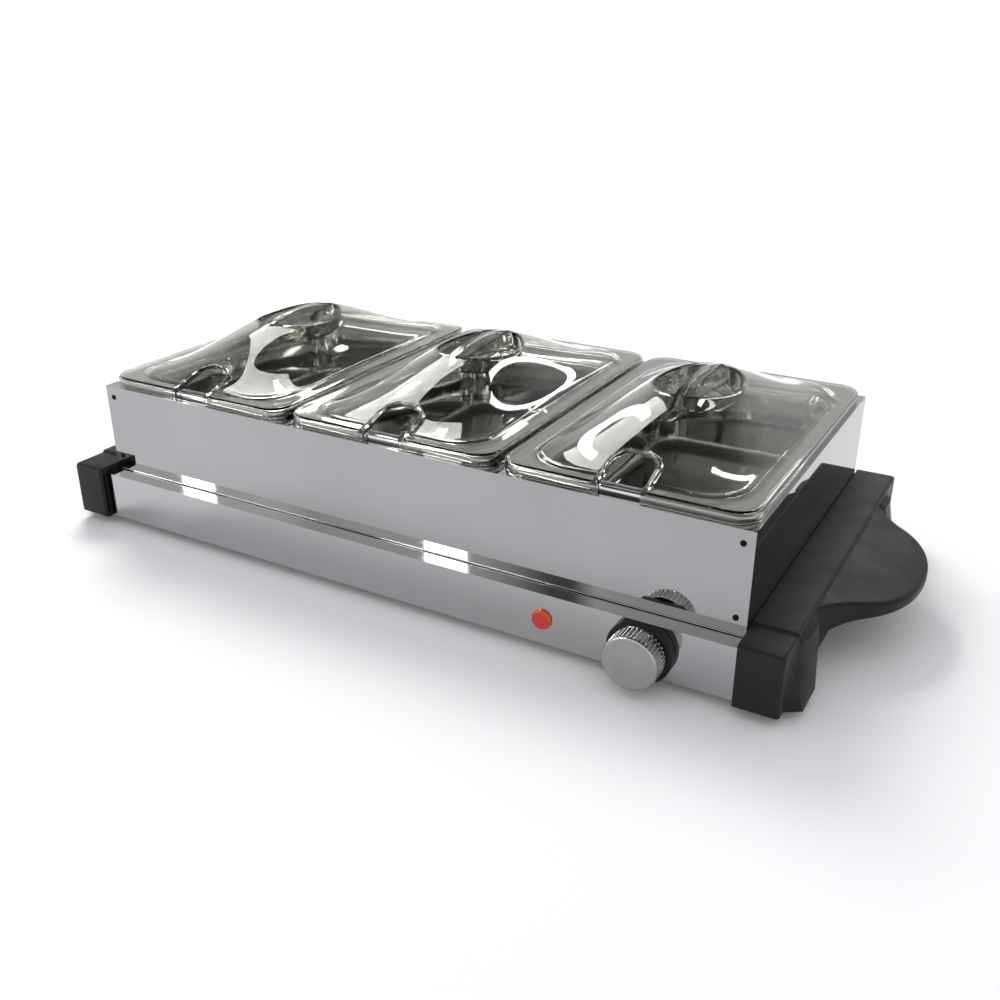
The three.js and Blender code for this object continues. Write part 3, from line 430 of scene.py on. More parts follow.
def leg_flare(y, z):
    """How far the outer skin stands out of the plain wall, at the front leg or the rear one."""
    mirrored_y = min(y - cap_low.y, cap_high.y - y)
    along = mirrored_y - LEG_SETBACK
    up = z - cap_low.z
    if along < 0:
        return 0.0
    height = (13 + 50 * smoothstep(along / LEG_LENGTH)) * MM
    swell = max(0.0, 1 - up / height) ** 0.8
    trailing = 1 - smoothstep((along - LEG_LENGTH - 0.36 * up) / (4 * MM))
    leading = smoothstep(along / LEG_EASE)
    return LEG_FLARE * swell * trailing * leading


def cap_section(y):
    """Ring in (x, z) at one station, shrunk where the end is rounded."""
    depth = min(y - cap_low.y, cap_high.y - y)
    t = min(1.0, depth / CAP_NOSE)
    inset = CAP_NOSE * (1 - math.sqrt(max(0.0, 1 - (1 - t) ** 2)))
    low = cap_high.z - CAP_STEP
    step = cap_low.y + CAP_STEP_SETBACK
    top = low + CAP_STEP * smoothstep((y - step) / (2 * MM)) - inset
    bottom = cap_low.z + inset * 0.6
    inner = cap_low.x - CAP_REACH_IN + inset * 0.6
    outer = CAP_OUTER - inset
    round_in, round_out = 0.35 * MM, 2.6 * MM
    ring = [(inner, z) for z in spaced(bottom, top - round_in, 4)[:-1]]
    ring += arc(inner + round_in, top - round_in, round_in, 180, 90, 5)
    ring += [((inner + outer) / 2, top)]
    ring += arc(outer - round_out, top - round_out, round_out, 90, 0, 7)
    levels = [top - round_out + (bottom + 1 * MM - top + round_out) * (i / 18) for i in range(1, 19)]
    ring += [(outer + leg_flare(y, z), z) for z in levels]
    foot = outer + leg_flare(y, bottom)
    ring += [(foot - 0.3 * MM, bottom + 0.3 * MM), (foot - 1 * MM, bottom)]
    return [(x, y, z) for x, z in ring]


def cap_stations():
    nose = [CAP_NOSE * (1 - math.cos(a)) for a in spaced(0, math.pi / 2, 7)]
    step = cap_low.y + CAP_STEP_SETBACK
    leg = LEG_SETBACK
    front = [cap_low.y + d for d in nose]
    front += [cap_low.y + leg - 0.05 * MM, cap_low.y + leg]
    front += [cap_low.y + leg + d * MM for d in (1.5, 4, 7, 10, 13, 16)]
    front += [step + d * MM for d in (0, 0.4, 0.8, 1.2, 1.6, 2, 2.4)]
    front += [cap_low.y + leg + LEG_LENGTH + d * MM for d in (-9, -6, -3, 0, 1.5, 3, 4.5, 6, 8, 11, 15, 19, 24)]
    rear_leg = [d for d in front if d < step or d > step + 3 * MM]
    rear = [cap_low.y + cap_high.y - y for y in reversed(rear_leg)]
    middle = spaced(front[-1], rear[0], 12)[1:-1]
    return front + middle + rear


def cap_body(side):
    verts, faces = loft([cap_section(y) for y in cap_stations()])
    body = solid("end_cap_" + ("right" if side > 0 else "left"), mirrored(verts, side), faces, cap_plastic, 32)
    shell_x = shell_high.x
    gap = 0.3 * MM
    wall_z = deck - CAP_WALL
    spans = [
        (cap_low.x - CAP_WALL, shell_x + gap, panel - gap, shell_high.y + gap, -CAP_WALL, deck + gap),
        (shell_x, CAP_OUTER - CAP_WALL, cap_low.y + CAP_WALL, cap_high.y - CAP_WALL, -CAP_WALL, wall_z),
        (cap_low.x - CAP_WALL, cap_low.x + 2.2 * MM, cap_low.y + 2.4 * MM, cap_low.y + 4.8 * MM,
         cap_low.z + 3 * MM, deck - 0.5 * MM),
    ]
    tools = [block(*sorted((side * x0, side * x1)), *rest) for x0, x1, *rest in spans]
    cut(body, tools)
    shade(body, 32)
    return body


def bezier(a, b, c, d, count):
    points = []
    for t in spaced(0, 1, count):
        s = 1 - t
        points.append(a * s**3 + b * (3 * s * s * t) + c * (3 * s * t * t) + d * t**3)
    return points


def wing_outline():
    """Points from the rear root round the tip to the front root, with their outward normals."""
    reach = cap_high.x - CAP_OUTER
    root = WING_ROOT

    def at(x, y):
        return Vector((x, y))

    half = bezier(at(0, root), at(2 * MM, root - 8 * MM), at(9 * MM, root - 17 * MM), at(0.4 * reach, root - 26 * MM), 15)
    knee = at(0.4 * reach, root - 26 * MM)
    half += bezier(knee, at(0.78 * reach, root - 37 * MM), at(reach, root * 0.36), at(reach, 0), 22)[1:]
    outline = half + [at(p.x, -p.y) for p in reversed(half[:-1])]
    placed = [at(CAP_OUTER + p.x, wing_middle + p.y) for p in outline]
    result = []
    for i, point in enumerate(placed):
        before, after = placed[max(i - 1, 0)], placed[min(i + 1, len(placed) - 1)]
        along = (after - before).normalized()
        result.append((point, Vector((-along.y, along.x))))
    return result


def wing(side):
    """A drooping plate with a rolled rim that deepens towards the root, open underneath."""
    top = cap_high.z - WING_DROP
    reach = cap_high.x - CAP_OUTER
    edge = 3.2 * MM
    root_x = CAP_OUTER - 1.2 * MM
    rings = []
    outline = wing_outline()
    for i, (point, outward) in enumerate(outline):
        share = max(0.0, (point.x - CAP_OUTER) / reach)
        skirt = WING_SKIRT_TIP - (WING_SKIRT_TIP - WING_SKIRT_ROOT) * (1 - share) ** 3.2
        root_y = wing_middle + (point.y - wing_middle) * (0.55 + 0.45 * (1 - share))

        def level(x):
            lean = max(0.0, (x - CAP_OUTER) / reach)
            return top - WING_DROOP * (0.75 * lean + 0.25 * lean * lean)

        ring = []
        inner_edge = point - outward * edge if share > 0.02 else point
        start = Vector((root_x, root_y))
        for t in (0.0, 0.05, 0.09, 0.13, 0.2, 0.35, 0.5, 0.65, 0.8, 0.92, 1.0):
            p = start.lerp(inner_edge, t)
            ring.append((p.x, p.y, level(p.x)))
        rim_level = level(inner_edge.x)
        for angle in (20, 40, 60, 80, 90):
            a = math.radians(angle)
            p = inner_edge + (point - inner_edge) * math.sin(a)
            ring.append((p.x, p.y, rim_level - edge * (1 - math.cos(a))))
        z_top = ring[-1][2]
        for t in (0.2, 0.45, 0.7, 0.9):
            ring.append((point.x, point.y, z_top + (skirt + 0.8 * MM - z_top) * t))
        inside = point - outward * WING_WALL if share > 0.02 else point - Vector((0, 0))
        lip = point.lerp(inside, 0.25)
        ring.append((point.x, point.y, skirt + 0.8 * MM))
        ring.append((lip.x, lip.y, skirt))
        lip = point.lerp(inside, 0.75)
        ring.append((lip.x, lip.y, skirt))
        ring.append((inside.x, inside.y, skirt + 0.8 * MM))
        under = level(inside.x) - WING_WALL
        ring.append((inside.x, inside.y, max(skirt + 1 * MM, under - 2 * MM)))
        ring.append((inside.x - 0.6 * MM, inside.y, max(skirt + 1.2 * MM, under)))
        for t in (0.3, 0.65, 1.0):
            p = Vector((inside.x - 0.6 * MM, inside.y)).lerp(start, t)
            ring.append((p.x, p.y, max(skirt + 1.2 * MM, level(p.x) - WING_WALL)))
        rings.append(ring)
    verts, faces = loft(rings)
    return solid("wing_" + ("right" if side > 0 else "left"), mirrored(verts, side), faces, cap_plastic, 38)


for side_name, sign in SIDES:
    cap = belongs(cap_body(sign), "warming_base", "cap_plastic", f"end_cap_{side_name}")
    handle = wing(sign)
    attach(handle, "warming_base")


# ---- Sheet-metal pieces --------------------------------------------------------------------
def softened(node, width, material):
    """A CAD sheet piece kept as it is, with its cut edges broken by a small bevel."""
    piece = frame["nodes"][node]
    flat = piece.modifiers.new("flat", "DECIMATE")
    flat.decimate_type = "DISSOLVE"
    flat.angle_limit = math.radians(0.5)
    edge = piece.modifiers.new("edge", "BEVEL")
    edge.width = width
    edge.segments = 3
    edge.limit_method = "ANGLE"
    edge.angle_limit = math.radians(35)
    edge.harden_normals = True
    piece.data.shade_smooth()
    for slot in range(max(1, len(piece.data.materials))):
        if slot < len(piece.data.materials):
            piece.data.materials[slot] = material
        else:
            piece.data.materials.append(material)


for part in frame["record"]["subparts"]:
    node = frame["nodes"][part["node"]]
    node.data.materials.clear()
    node.data.materials.append(SLOT_MATERIALS[part["material_slot"]])

softened("base_shell", 0.8 * MM, mirror_steel)
softened("bottom_cover", 0.3 * MM, zinc)
for node in ("frame_front", "frame_rear", "frame_side_left", "frame_side_right", "crossbar_1", "crossbar_2"):
    softened(node, 0.3 * MM, steel)


HEM_RADIUS = 0.45 * MM


def frame_hem():
    """The rolled lower edge of the frame's front wall, a bright thread along its foot."""
    place = Vector((0, front_low.y - HEM_RADIUS * 0.2, front_low.z + HEM_RADIUS))
    rings = []
    for x in spaced(front_low.x + 2 * MM, front_high.x - 2 * MM, 5):
        rings.append([(x, place.y + u, place.z + v) for u, v in arc(0, 0, HEM_RADIUS, 0, 345, 24)])
    return solid("frame_hem", *loft(rings), steel, 60)


hem = frame_hem()
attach(hem, "pan_frame")

# ---- Pans ----------------------------------------------------------------------------------
def rounded_ring(half_x, half_y, radius, per_corner, z):
    """Points round a rectangle with round corners, starting at the middle of the +X side."""
    points = [(half_x, 0.0)]
    for corner in range(4):
        cx = (half_x - radius) * (1 if corner in (0, 3) else -1)
        cy = (half_y - radius) * (1 if corner < 2 else -1)
        points += arc(cx, cy, radius, corner * 90, corner * 90 + 90, per_corner)
        points.append([(0.0, half_y), (-half_x, 0.0), (0.0, -half_y), None][corner])
    return [(*p, z) for p in points if p is not None]


PAN_WALL = 0.8 * MM
PAN_TAPER = 6 * MM
PAN_FLOOR_RADIUS = 9 * MM
PAN_CORNER = 26 * MM
PAN_RIM = (8 * MM, 9.6 * MM)


def pan(name):
    low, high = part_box(f"pan_{name}")
    centre = (low + high) / 2
    rim_half = Vector((high.x - centre.x, high.y - centre.y))
    mouth = Vector((rim_half.x - PAN_RIM[0], rim_half.y - PAN_RIM[1]))
    floor = low.z + PAN_WALL
    bead = 1.6 * MM

    def ring(inset, radius, z):
        return rounded_ring(mouth.x - inset, mouth.y - inset, radius, 10, z)

    inner = []
    for t in (0, 0.25, 0.5, 0.8):
        inner.append(ring(PAN_TAPER + PAN_FLOOR_RADIUS + (1 - t) * 24 * MM, PAN_CORNER - 8 * MM, floor + 0.25 * MM * (1 - t)))
    for angle in spaced(0, 90, 8):
        a = math.radians(angle)
        inset = PAN_TAPER + PAN_FLOOR_RADIUS * (1 - math.sin(a))
        inner.append(ring(inset, PAN_CORNER - 7 * MM * (1 - math.sin(a)), floor + PAN_FLOOR_RADIUS * (1 - math.cos(a))))
    shoulder = high.z - 11 * MM
    inner.append(ring(PAN_TAPER * 0.75, PAN_CORNER, floor + 20 * MM))
    inner.append(ring(PAN_TAPER * 0.3 + 1.2 * MM, PAN_CORNER, shoulder - 1.4 * MM))
    inner.append(ring(PAN_TAPER * 0.3 + 0.9 * MM, PAN_CORNER, shoulder - 0.5 * MM))
    inner.append(ring(PAN_TAPER * 0.3, PAN_CORNER, shoulder + 0.4 * MM))
    inner.append(ring(1.2 * MM, PAN_CORNER, high.z - 4 * MM))
    lip = []
    for angle in spaced(0, 90, 6):
        a = math.radians(angle)
        lip.append(ring(1.2 * MM - 3 * MM * (1 - math.cos(a)), PAN_CORNER, high.z - 3 * MM + 3 * MM * math.sin(a)))

    def rim(outset, z):
        corner = 12.3 * MM
        return rounded_ring(rim_half.x - outset, rim_half.y - outset, corner - outset, 10, z)

    lip.append(rim(bead * 1.6, high.z))
    for angle in spaced(90, 0, 6):
        a = math.radians(angle)
        lip.append(rim(bead * (1 - math.cos(a)), high.z - bead * (1 - math.sin(a))))
    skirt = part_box(f"lid_{name}")[0].z
    lip.append(rim(0, skirt + 0.5 * MM))
    lip.append(rim(PAN_WALL * 0.5, skirt))
    lip.append(rim(PAN_WALL, skirt + 0.5 * MM))
    lip.append(rim(PAN_WALL, high.z - 2 * MM))
    lip.append(rim(bead * 1.6, high.z - PAN_WALL))
    outer = [ring(-3 * MM, PAN_CORNER, high.z - PAN_WALL)]
    outer.append(ring(0.6 * MM, PAN_CORNER, high.z - 4 * MM))
    outer.append(ring(PAN_TAPER * 0.75 - PAN_WALL, PAN_CORNER, floor + 20 * MM))
    for angle in spaced(90, 0, 7):
        a = math.radians(angle)
        inset = PAN_TAPER - PAN_WALL + PAN_FLOOR_RADIUS * (1 - math.sin(a))
        outer.append(
            ring(inset, PAN_CORNER - 7 * MM * (1 - math.sin(a)), low.z + PAN_FLOOR_RADIUS * (1 - math.cos(a)))
        )
    verts, faces = loft(inner + lip + outer)
    verts = [v + Vector((centre.x, centre.y, 0)) for v in verts]
    return solid(f"steam_pan_{name}", verts, faces, drawn, 50)


for name in PANS:
    belongs(pan(name), f"{name}_pan", "polished_steel", f"pan_{name}")

# ---- Lids ----------------------------------------------------------------------------------
LID_SKIRT = 7.5 * MM
LID_CORNER = 17 * MM
LID_EDGE = 2.2 * MM
LID_WALL = 1.9 * MM
DOME_INSET = (13.5 * MM, 8.5 * MM)
DOME_CORNER = 30 * MM
DOME_ROUNDNESS = 2.0
DOME_FOOT = 1.4
DOME_STEP = 1.3 * MM
GRIP = (29 * MM, 38 * MM)  # half-axes of the oval recess at the crest
GRIP_DEPTH = 14 * MM
GRIP_WEB = 3 * MM  # half the web's thickness
OPENING_HALF = 14.5 * MM
OPENING_LENGTH = 33 * MM
OPENING_CORNER = 10 * MM
OPENING_RIM = 3.4 * MM
OPENING_RISE = 2.2 * MM
PER_SIDE = 40


def oval(u, v, a, b):
    """A point of the square -1..1 mapped into an oval; the square's edge becomes its outline."""
    return Vector((a * u * math.sqrt(1 - v * v / 2), b * v * math.sqrt(1 - u * u / 2)))


def round_rectangle(half_x, half_y, radius, u, v):
    """The point of a round-cornered rectangle for an edge point (u, v) of the square -1..1."""

    def along(half, share):
        straight = half - radius
        quarter = radius * math.pi / 4
        walked = abs(share) * (straight + quarter)
        if walked <= straight:
            return math.copysign(walked, share), 0.0
        turn = (walked - straight) / radius
        return math.copysign(straight + radius * math.sin(turn), share), radius * (1 - math.cos(turn))

    if abs(abs(u) - 1) < 1e-9:
        y, inset = along(half_y, v)
        return Vector((math.copysign(half_x - inset, u), y))
    x, inset = along(half_x, u)
    return Vector((x, math.copysign(half_y - inset, v)))


class LidForm:
    """Height of a lid's outer skin above its flange, in the lid's own middle."""

    def __init__(self, name):
        low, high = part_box(f"lid_{name}")
        self.name = name
        self.centre = (low + high) / 2
        self.half = Vector((high.x - self.centre.x, high.y - self.centre.y))
        self.bottom = low.z
        self.flange = low.z + LID_SKIRT
        self.rise = high.z - self.flange
        self.dome = Vector((self.half.x - DOME_INSET[0], self.half.y - DOME_INSET[1]))

    def section(self, share):
        return max(0.0, 1 - abs(share) ** DOME_ROUNDNESS) ** DOME_FOOT

    def inside_foot(self, x, y):
        """Distance inside the dome's outline; negative on the flange."""
        qx = abs(x) - (self.dome.x - DOME_CORNER)
        qy = abs(y) - (self.dome.y - DOME_CORNER)
        outside = math.hypot(max(qx, 0.0), max(qy, 0.0)) + min(max(qx, qy), 0.0)
        return DOME_CORNER - outside

    def in_lobe(self, x, y):
        """Rough distance inside the nearer half of the oval recess; negative outside it."""
        a, b = GRIP
        r = math.hypot(x / a, y / b)
        if r < 1e-6:
            return -GRIP_WEB
        slope = math.hypot(x / (a * a), y / (b * b)) / r
        return min((1 - r) / slope, abs(x) - GRIP_WEB)

    def height(self, x, y):
        foot = self.inside_foot(x, y)
        dome = self.rise * self.section(x / self.dome.x) * self.section(y / self.dome.y) if foot > 0 else 0.0
        step = DOME_STEP * smoothstep(foot / (3 * MM))
        crest = 1 - DOME_STEP / self.rise
        depth = self.in_lobe(x, y)
        well = GRIP_DEPTH * smoothstep((depth + 0.6 * MM) / (4.4 * MM)) ** 0.8
        return dome * crest + step - well


def lid_skin(form):
    """The skin as an open sheet: a grid in the recess, then rings out to the skirt's lower edge."""
    square = spaced(-1, 1, PER_SIDE + 1)
    columns = [math.copysign(abs(s) ** 1.15, s) for s in square]
    index = {}
    verts = []
    faces = []

    def add(point, z):
        verts.append((point.x + form.centre.x, point.y + form.centre.y, z))
        return len(verts) - 1

    grip_out = 0.95
    for i, u in enumerate(columns):
        for j, v in enumerate(square):
            p = oval(u, v, GRIP[0] * grip_out, GRIP[1] * grip_out)
            index[i, j] = add(p, form.flange + form.height(p.x, p.y))
    n = PER_SIDE
    for i in range(n):
        for j in range(n):
            faces.append((index[i, j], index[i + 1, j], index[i + 1, j + 1], index[i, j + 1]))
    border = [(n, j) for j in range(n)] + [(i, n) for i in range(n, 0, -1)]
    border += [(0, j) for j in range(n, 0, -1)] + [(i, 0) for i in range(n)]
    edge = [(columns[i], square[j]) for i, j in border]
    ring = [index[k] for k in border]

    def next_ring(points, levels):
        nonlocal ring
        made = [add(p, z) for p, z in zip(points, levels)]
        for k in range(len(ring)):
            m = (k + 1) % len(ring)
            faces.append((ring[k], made[k], made[m], ring[m]))
        ring = made

    def on_surface(points):
        next_ring(points, [form.flange + form.height(p.x, p.y) for p in points])

    for share in (0.98, 1.01, 1.05, 1.1):
        on_surface([oval(u, v, GRIP[0] * share, GRIP[1] * share) for u, v in edge])
    start = [oval(u, v, GRIP[0] * 1.1, GRIP[1] * 1.1) for u, v in edge]
    foot = [round_rectangle(form.dome.x, form.dome.y, DOME_CORNER, u, v) for u, v in edge]
    for t in (0.06, 0.12, 0.19, 0.26, 0.33, 0.41, 0.49, 0.57, 0.64, 0.71, 0.77, 0.83, 0.88, 0.92, 0.945, 0.965, 0.98, 0.992, 1.0):
        on_surface([a.lerp(b, t) for a, b in zip(start, foot)])
    brink = (form.half.x - LID_EDGE, form.half.y - LID_EDGE)
    flat = [round_rectangle(*brink, LID_CORNER - LID_EDGE, u, v) for u, v in edge]
    for t in (0.06, 0.3, 0.7, 1.0):
        points = [a.lerp(b, t) for a, b in zip(foot, flat)]
        next_ring(points, [form.flange] * len(points))
    for angle in spaced(15, 90, 6):
        a = math.radians(angle)
        out = LID_EDGE * (1 - math.sin(a))
        size = (form.half.x - out, form.half.y - out, LID_CORNER - out)
        points = [round_rectangle(*size, u, v) for u, v in edge]
        next_ring(points, [form.flange - LID_EDGE * (1 - math.cos(a))] * len(points))
    full = [round_rectangle(form.half.x, form.half.y, LID_CORNER, u, v) for u, v in edge]
    for z in spaced(form.flange - LID_EDGE, form.bottom, 4)[1:]:
        next_ring(full, [z] * len(full))
    return verts, faces


def opening_path(form, outset, steps=9):
    """Plan points of the ladle opening from its left leg round the rear to its right leg."""
    half = OPENING_HALF + outset
    rear = -form.half.y + OPENING_LENGTH + outset
    radius = OPENING_CORNER + outset
    left = arc(-half + radius, rear - radius, radius, 180, 90, steps)
    right = arc(half - radius, rear - radius, radius, 90, 0, steps)
    legs = spaced(-form.half.y, rear - radius, 9)[:-1]
    return [Vector((-half, y)) for y in legs] + [Vector(p) for p in left + right] + [Vector((half, y)) for y in reversed(legs)]


def lid_shell(form):
    verts, faces = lid_skin(form)
    skin = solid(f"lid_shell_{form.name}", verts, faces, smoke, 60)
    wall = skin.modifiers.new("wall", "SOLIDIFY")
    wall.thickness = LID_WALL
    wall.offset = -1 if skin.data.polygons[0].normal.z > 0 else 1
    wall.use_even_offset = False
    settle(skin)
    plan = opening_path(form, OPENING_RIM)
    plan = [Vector((plan[0].x, plan[0].y - 9 * MM))] + plan + [Vector((plan[-1].x, plan[-1].y - 9 * MM))]
    rings = [[(p.x + form.centre.x, p.y + form.centre.y, z) for p in plan] for z in (form.bottom - 9 * MM, form.flange + form.rise)]
    cut(skin, [solid("tool", *loft(rings), None)])
    shade(skin, 40)
    return skin


def opening_rim(form):
    """The thick raised rim round the ladle opening: two beads, down the skirt at both legs."""
    inner, outer = opening_path(form, 0), opening_path(form, OPENING_RIM - 0.05 * MM)
    stations = []
    front = -form.half.y
    for k, z in enumerate((form.bottom, form.bottom + 3 * MM, form.flange - 1.2 * MM)):
        stations.append((inner[0], outer[0], z, Vector((0, -1, 0))))
    stations[-1] = (inner[0], outer[0], form.flange - 1.6 * MM, Vector((0, -0.92, 0.39)))
    body = []
    for p, q in zip(inner, outer):
        m = (p + q) / 2
        level = form.flange + form.height(m.x, max(m.y, front))
        slope = (form.height(m.x, m.y + 1 * MM) - form.height(m.x, m.y - 1 * MM)) / (2 * MM)
        body.append((p, q, level, Vector((0, -slope, 1)).normalized()))
    body[0] = (*body[0][:2], body[0][2] - 0.3 * MM, Vector((0, -0.38, 0.92)))
    body[-1] = (*body[-1][:2], body[-1][2] - 0.3 * MM, Vector((0, -0.38, 0.92)))
    tail = [(inner[-1], outer[-1], z, n) for _, _, z, n in reversed(stations)]
    section = [(0, -LID_WALL), (0, 0.5), (0.1, 0.85), (0.25, 1), (0.4, 0.8), (0.5, 0.55), (0.6, 0.8), (0.75, 1), (0.9, 0.85), (1, 0.5), (1, -LID_WALL)]
    rings = []
    for p, q, z, up in stations + body + tail:
        ring = []
        for across, rise in section:
            flat = p.lerp(q, across)
            lift = rise if rise < 0 else rise * OPENING_RISE
            point = Vector((flat.x, flat.y, z)) + up * lift
            point.y = max(point.y, front - 0.4 * MM)
            point.z = max(point.z, form.bottom)
            ring.append(point + Vector((form.centre.x, form.centre.y, 0)))
        rings.append(ring)
    return solid(f"ladle_rim_{form.name}", *loft(rings), smoke, 50)


for name in PANS:
    form = LidForm(name)
    belongs(lid_shell(form), f"{name}_lid", "smoke_plastic", f"lid_{name}")
    rim = opening_rim(form)
    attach(rim, f"{name}_lid")

# ---- Control knob, bezel and lamp -----------------------------------------------------------
FLUTES = 40
KNOB_WALL = 1.5 * MM


def knob_cap():
    """A thin metal cap: a flat face with a rounded brim and fine flutes round its side."""
    radius = (knob_high.x - knob_low.x) / 2
    front, rear = knob_low.y, knob_high.y
    count = FLUTES * 8

    def ring(r, y, flute=0.0):
        points = []
        for i in range(count):
            angle = 2 * math.pi * i / count
            wave = 0.5 - 0.5 * math.cos(FLUTES * angle)
            size = r - flute * wave**1.5
            points.append((knob_centre.x + size * math.cos(angle), y, knob_centre.z + size * math.sin(angle)))
        return points

    brim = 1.7 * MM
    rings = [ring(0.2 * MM, front + 0.12 * MM), ring(radius * 0.5, front + 0.12 * MM)]
    rings += [ring(radius - brim - 1 * MM, front + 0.12 * MM), ring(radius - brim - 0.4 * MM, front)]
    for angle in spaced(0, 90, 8):
        a = math.radians(angle)
        rings.append(ring(radius - brim * (1 - math.sin(a)), front + brim * (1 - math.cos(a)), 0.55 * MM * smoothstep((angle - 45) / 45)))
    for y in spaced(front + brim, rear - 1.6 * MM, 6)[1:]:
        rings.append(ring(radius, y, 0.75 * MM))
    rings += [ring(radius, rear - 1.1 * MM, 0.1 * MM), ring(radius, rear - 0.4 * MM), ring(radius - 0.4 * MM, rear)]
    inside = radius - KNOB_WALL - 0.6 * MM
    rings += [ring(inside, rear), ring(inside, front + KNOB_WALL + 0.3 * MM), ring(0.2 * MM, front + KNOB_WALL + 0.3 * MM)]
    return solid("knob_face_cap", *loft(rings), plated, 40)


belongs(knob_cap(), "control_knob", "chrome_trim", "knob_cap")


def bezel():
    """A round collar behind the knob, flat above and below, with a soft front edge."""
    radius = (bezel_high.x - bezel_low.x) / 2
    flat = (bezel_high.z - bezel_low.z) / 2
    front, rear = bezel_low.y, bezel_high.y

    def ring(inset, y):
        limit = flat - inset
        points = []
        for i in range(144):
            angle = 2 * math.pi * i / 144
            x, z = (radius - inset) * math.cos(angle), (radius - inset) * math.sin(angle)
            points.append((knob_centre.x + x, y, knob_centre.z + max(-limit, min(limit, z))))
        return points

    soft = 0.9 * MM
    rings = [ring(radius * 0.72, front + 1 * MM), ring(3.6 * MM, front + 1 * MM), ring(3 * MM, front)]
    for angle in spaced(0, 90, 6):
        a = math.radians(angle)
        rings.append(ring(soft * (1 - math.sin(a)), front + soft * (1 - math.cos(a))))
    rings += [ring(0, rear), ring(radius * 0.72, rear)]
    return solid("knob_collar", *loft(rings, loop=True), black_plastic, 35)


belongs(bezel(), "warming_base", "black_plastic", "knob_bezel")


def lens():
    radius = (lens_high.x - lens_low.x) / 2 - 0.6 * MM
    centre = ((lens_low.x + lens_high.x) / 2, 0, (lens_low.z + lens_high.z) / 2)
    front = lens_low.y
    profile = [(0, front + 0.15 * MM), (radius * 0.6, front + 0.12 * MM)]
    profile += [(radius - 0.9 * MM, front + 0.05 * MM)]
    profile += [(radius - 0.9 * MM + r, front + 0.9 * MM + d) for r, d in arc(0, 0, 0.9 * MM, -90, 0, 7)]
    flange = radius + 0.6 * MM
    profile += [(radius, panel - 1.1 * MM), (flange - 0.3 * MM, panel - 1 * MM), (flange, panel - 0.7 * MM)]
    profile += [(flange, panel - 0.3 * MM), (radius, panel - 0.3 * MM), (radius, lens_high.y), (0, lens_high.y)]
    return turned("lamp_lens", profile, "Y", centre, lens_red, 72)


belongs(lens(), "warming_base", "lamp_red", "indicator_lens")


# ---- Rivets, feet and the cord gland --------------------------------------------------------
def rivet(node, outward):
    low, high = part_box(node)
    centre = (low + high) / 2
    radius = (high.x - low.x) / 2
    face = front_low.y if outward < 0 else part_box("frame_rear")[1].y
    tip = low.y if outward < 0 else high.y
    tail = high.y if outward < 0 else low.y
    dome = abs(tip - face)
    profile = [(0, tip)]
    for angle in spaced(15, 90, 6):
        a = math.radians(angle)
        profile.append((radius * math.sin(a), face + outward * (0.15 * MM + (dome - 0.15 * MM) * math.cos(a))))
    shank = 1.6 * MM
    profile += [(shank, face + outward * 0.15 * MM), (shank, tail + outward * 0.9 * MM)]
    profile += [(radius, tail + outward * 0.9 * MM), (radius * 0.8, tail), (0, tail)]
    return turned(f"head_{node}", profile, "Y", (centre.x, 0, centre.z), rivet_black, 40)


for end, outward in (("front", -1), ("rear", 1)):
    for side_name, sign in SIDES:
        for level in ("upper", "lower"):
            node = f"rivet_{end}_{side_name}_{level}"
            belongs(rivet(node, outward), "pan_frame", "black_plastic", node)


def foot(node):
    low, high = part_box(node)
    centre = (low + high) / 2
    radius = (high.x - low.x) / 2
    shoulder = shell_low.z - 0.3 * MM
    cover_top = shell_low.z + 1 * MM
    stem = 3 * MM
    profile = [(0, low.z + 0.5 * MM), (radius - 4 * MM, low.z + 0.5 * MM), (radius - 3.4 * MM, low.z)]
    profile += [(radius - 1.2 * MM, low.z)]
    profile += [(radius - 1.2 * MM + r, low.z + 1.2 * MM + d) for r, d in arc(0, 0, 1.2 * MM, -75, 0, 6)]
    profile += [(radius - 1.2 * MM, shoulder - 0.8 * MM), (radius - 1.8 * MM, shoulder), (stem, shoulder)]
    profile += [(stem, cover_top + 0.3 * MM), (stem + 1.4 * MM, cover_top + 0.3 * MM)]
    profile += [(stem - 0.8 * MM, high.z), (0, high.z)]
    return turned(f"rubber_{node}", profile, "Z", (centre.x, centre.y, 0), rubber, 56)


for side_name, sign in SIDES:
    for end in ENDS:
        node = f"foot_{side_name}_{end}"
        belongs(foot(node), "warming_base", "rubber", node)


def gland():
    """Grommet in the rear panel: a ribbed flange outside and a plain one inside."""
    low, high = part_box("cord_gland")
    centre = (low + high) / 2
    bore, neck, flange = 3.75 * MM, 6 * MM, (high.x - low.x) / 2
    outside = shell_high.y
    inside = outside - 1.3 * MM
    profile = [(bore, low.y), (flange - 0.5 * MM, low.y), (flange, low.y + 0.5 * MM), (flange, inside), (neck, inside)]
    profile += [(neck, outside + 0.3 * MM), (flange, outside + 0.3 * MM), (flange, outside + 1.1 * MM)]
    profile += [(flange - 0.7 * MM, outside + 1.9 * MM), (flange - 2.4 * MM, outside + 2.1 * MM)]
    profile += [(flange - 2.8 * MM, high.y - 0.5 * MM), (bore + 0.9 * MM, high.y), (bore, high.y - 0.5 * MM)]
    return turned("cord_grommet", profile, "Y", (centre.x, 0, centre.z), rubber, 56)


belongs(gland(), "warming_base", "rubber", "cord_gland")


# ---- Floor, lights and camera ----------------------------------------------------------------
MATT_SKY = (0.74, 0.73, 0.76, 1)
HEIGHT_PROFILE = ((0.0, 1.0), (0.15, 1.0), (0.3, 0.95), (0.42, 0.85), (0.52, 0.6), (0.62, 0.25), (0.8, 0.09), (1.0, 0.06))
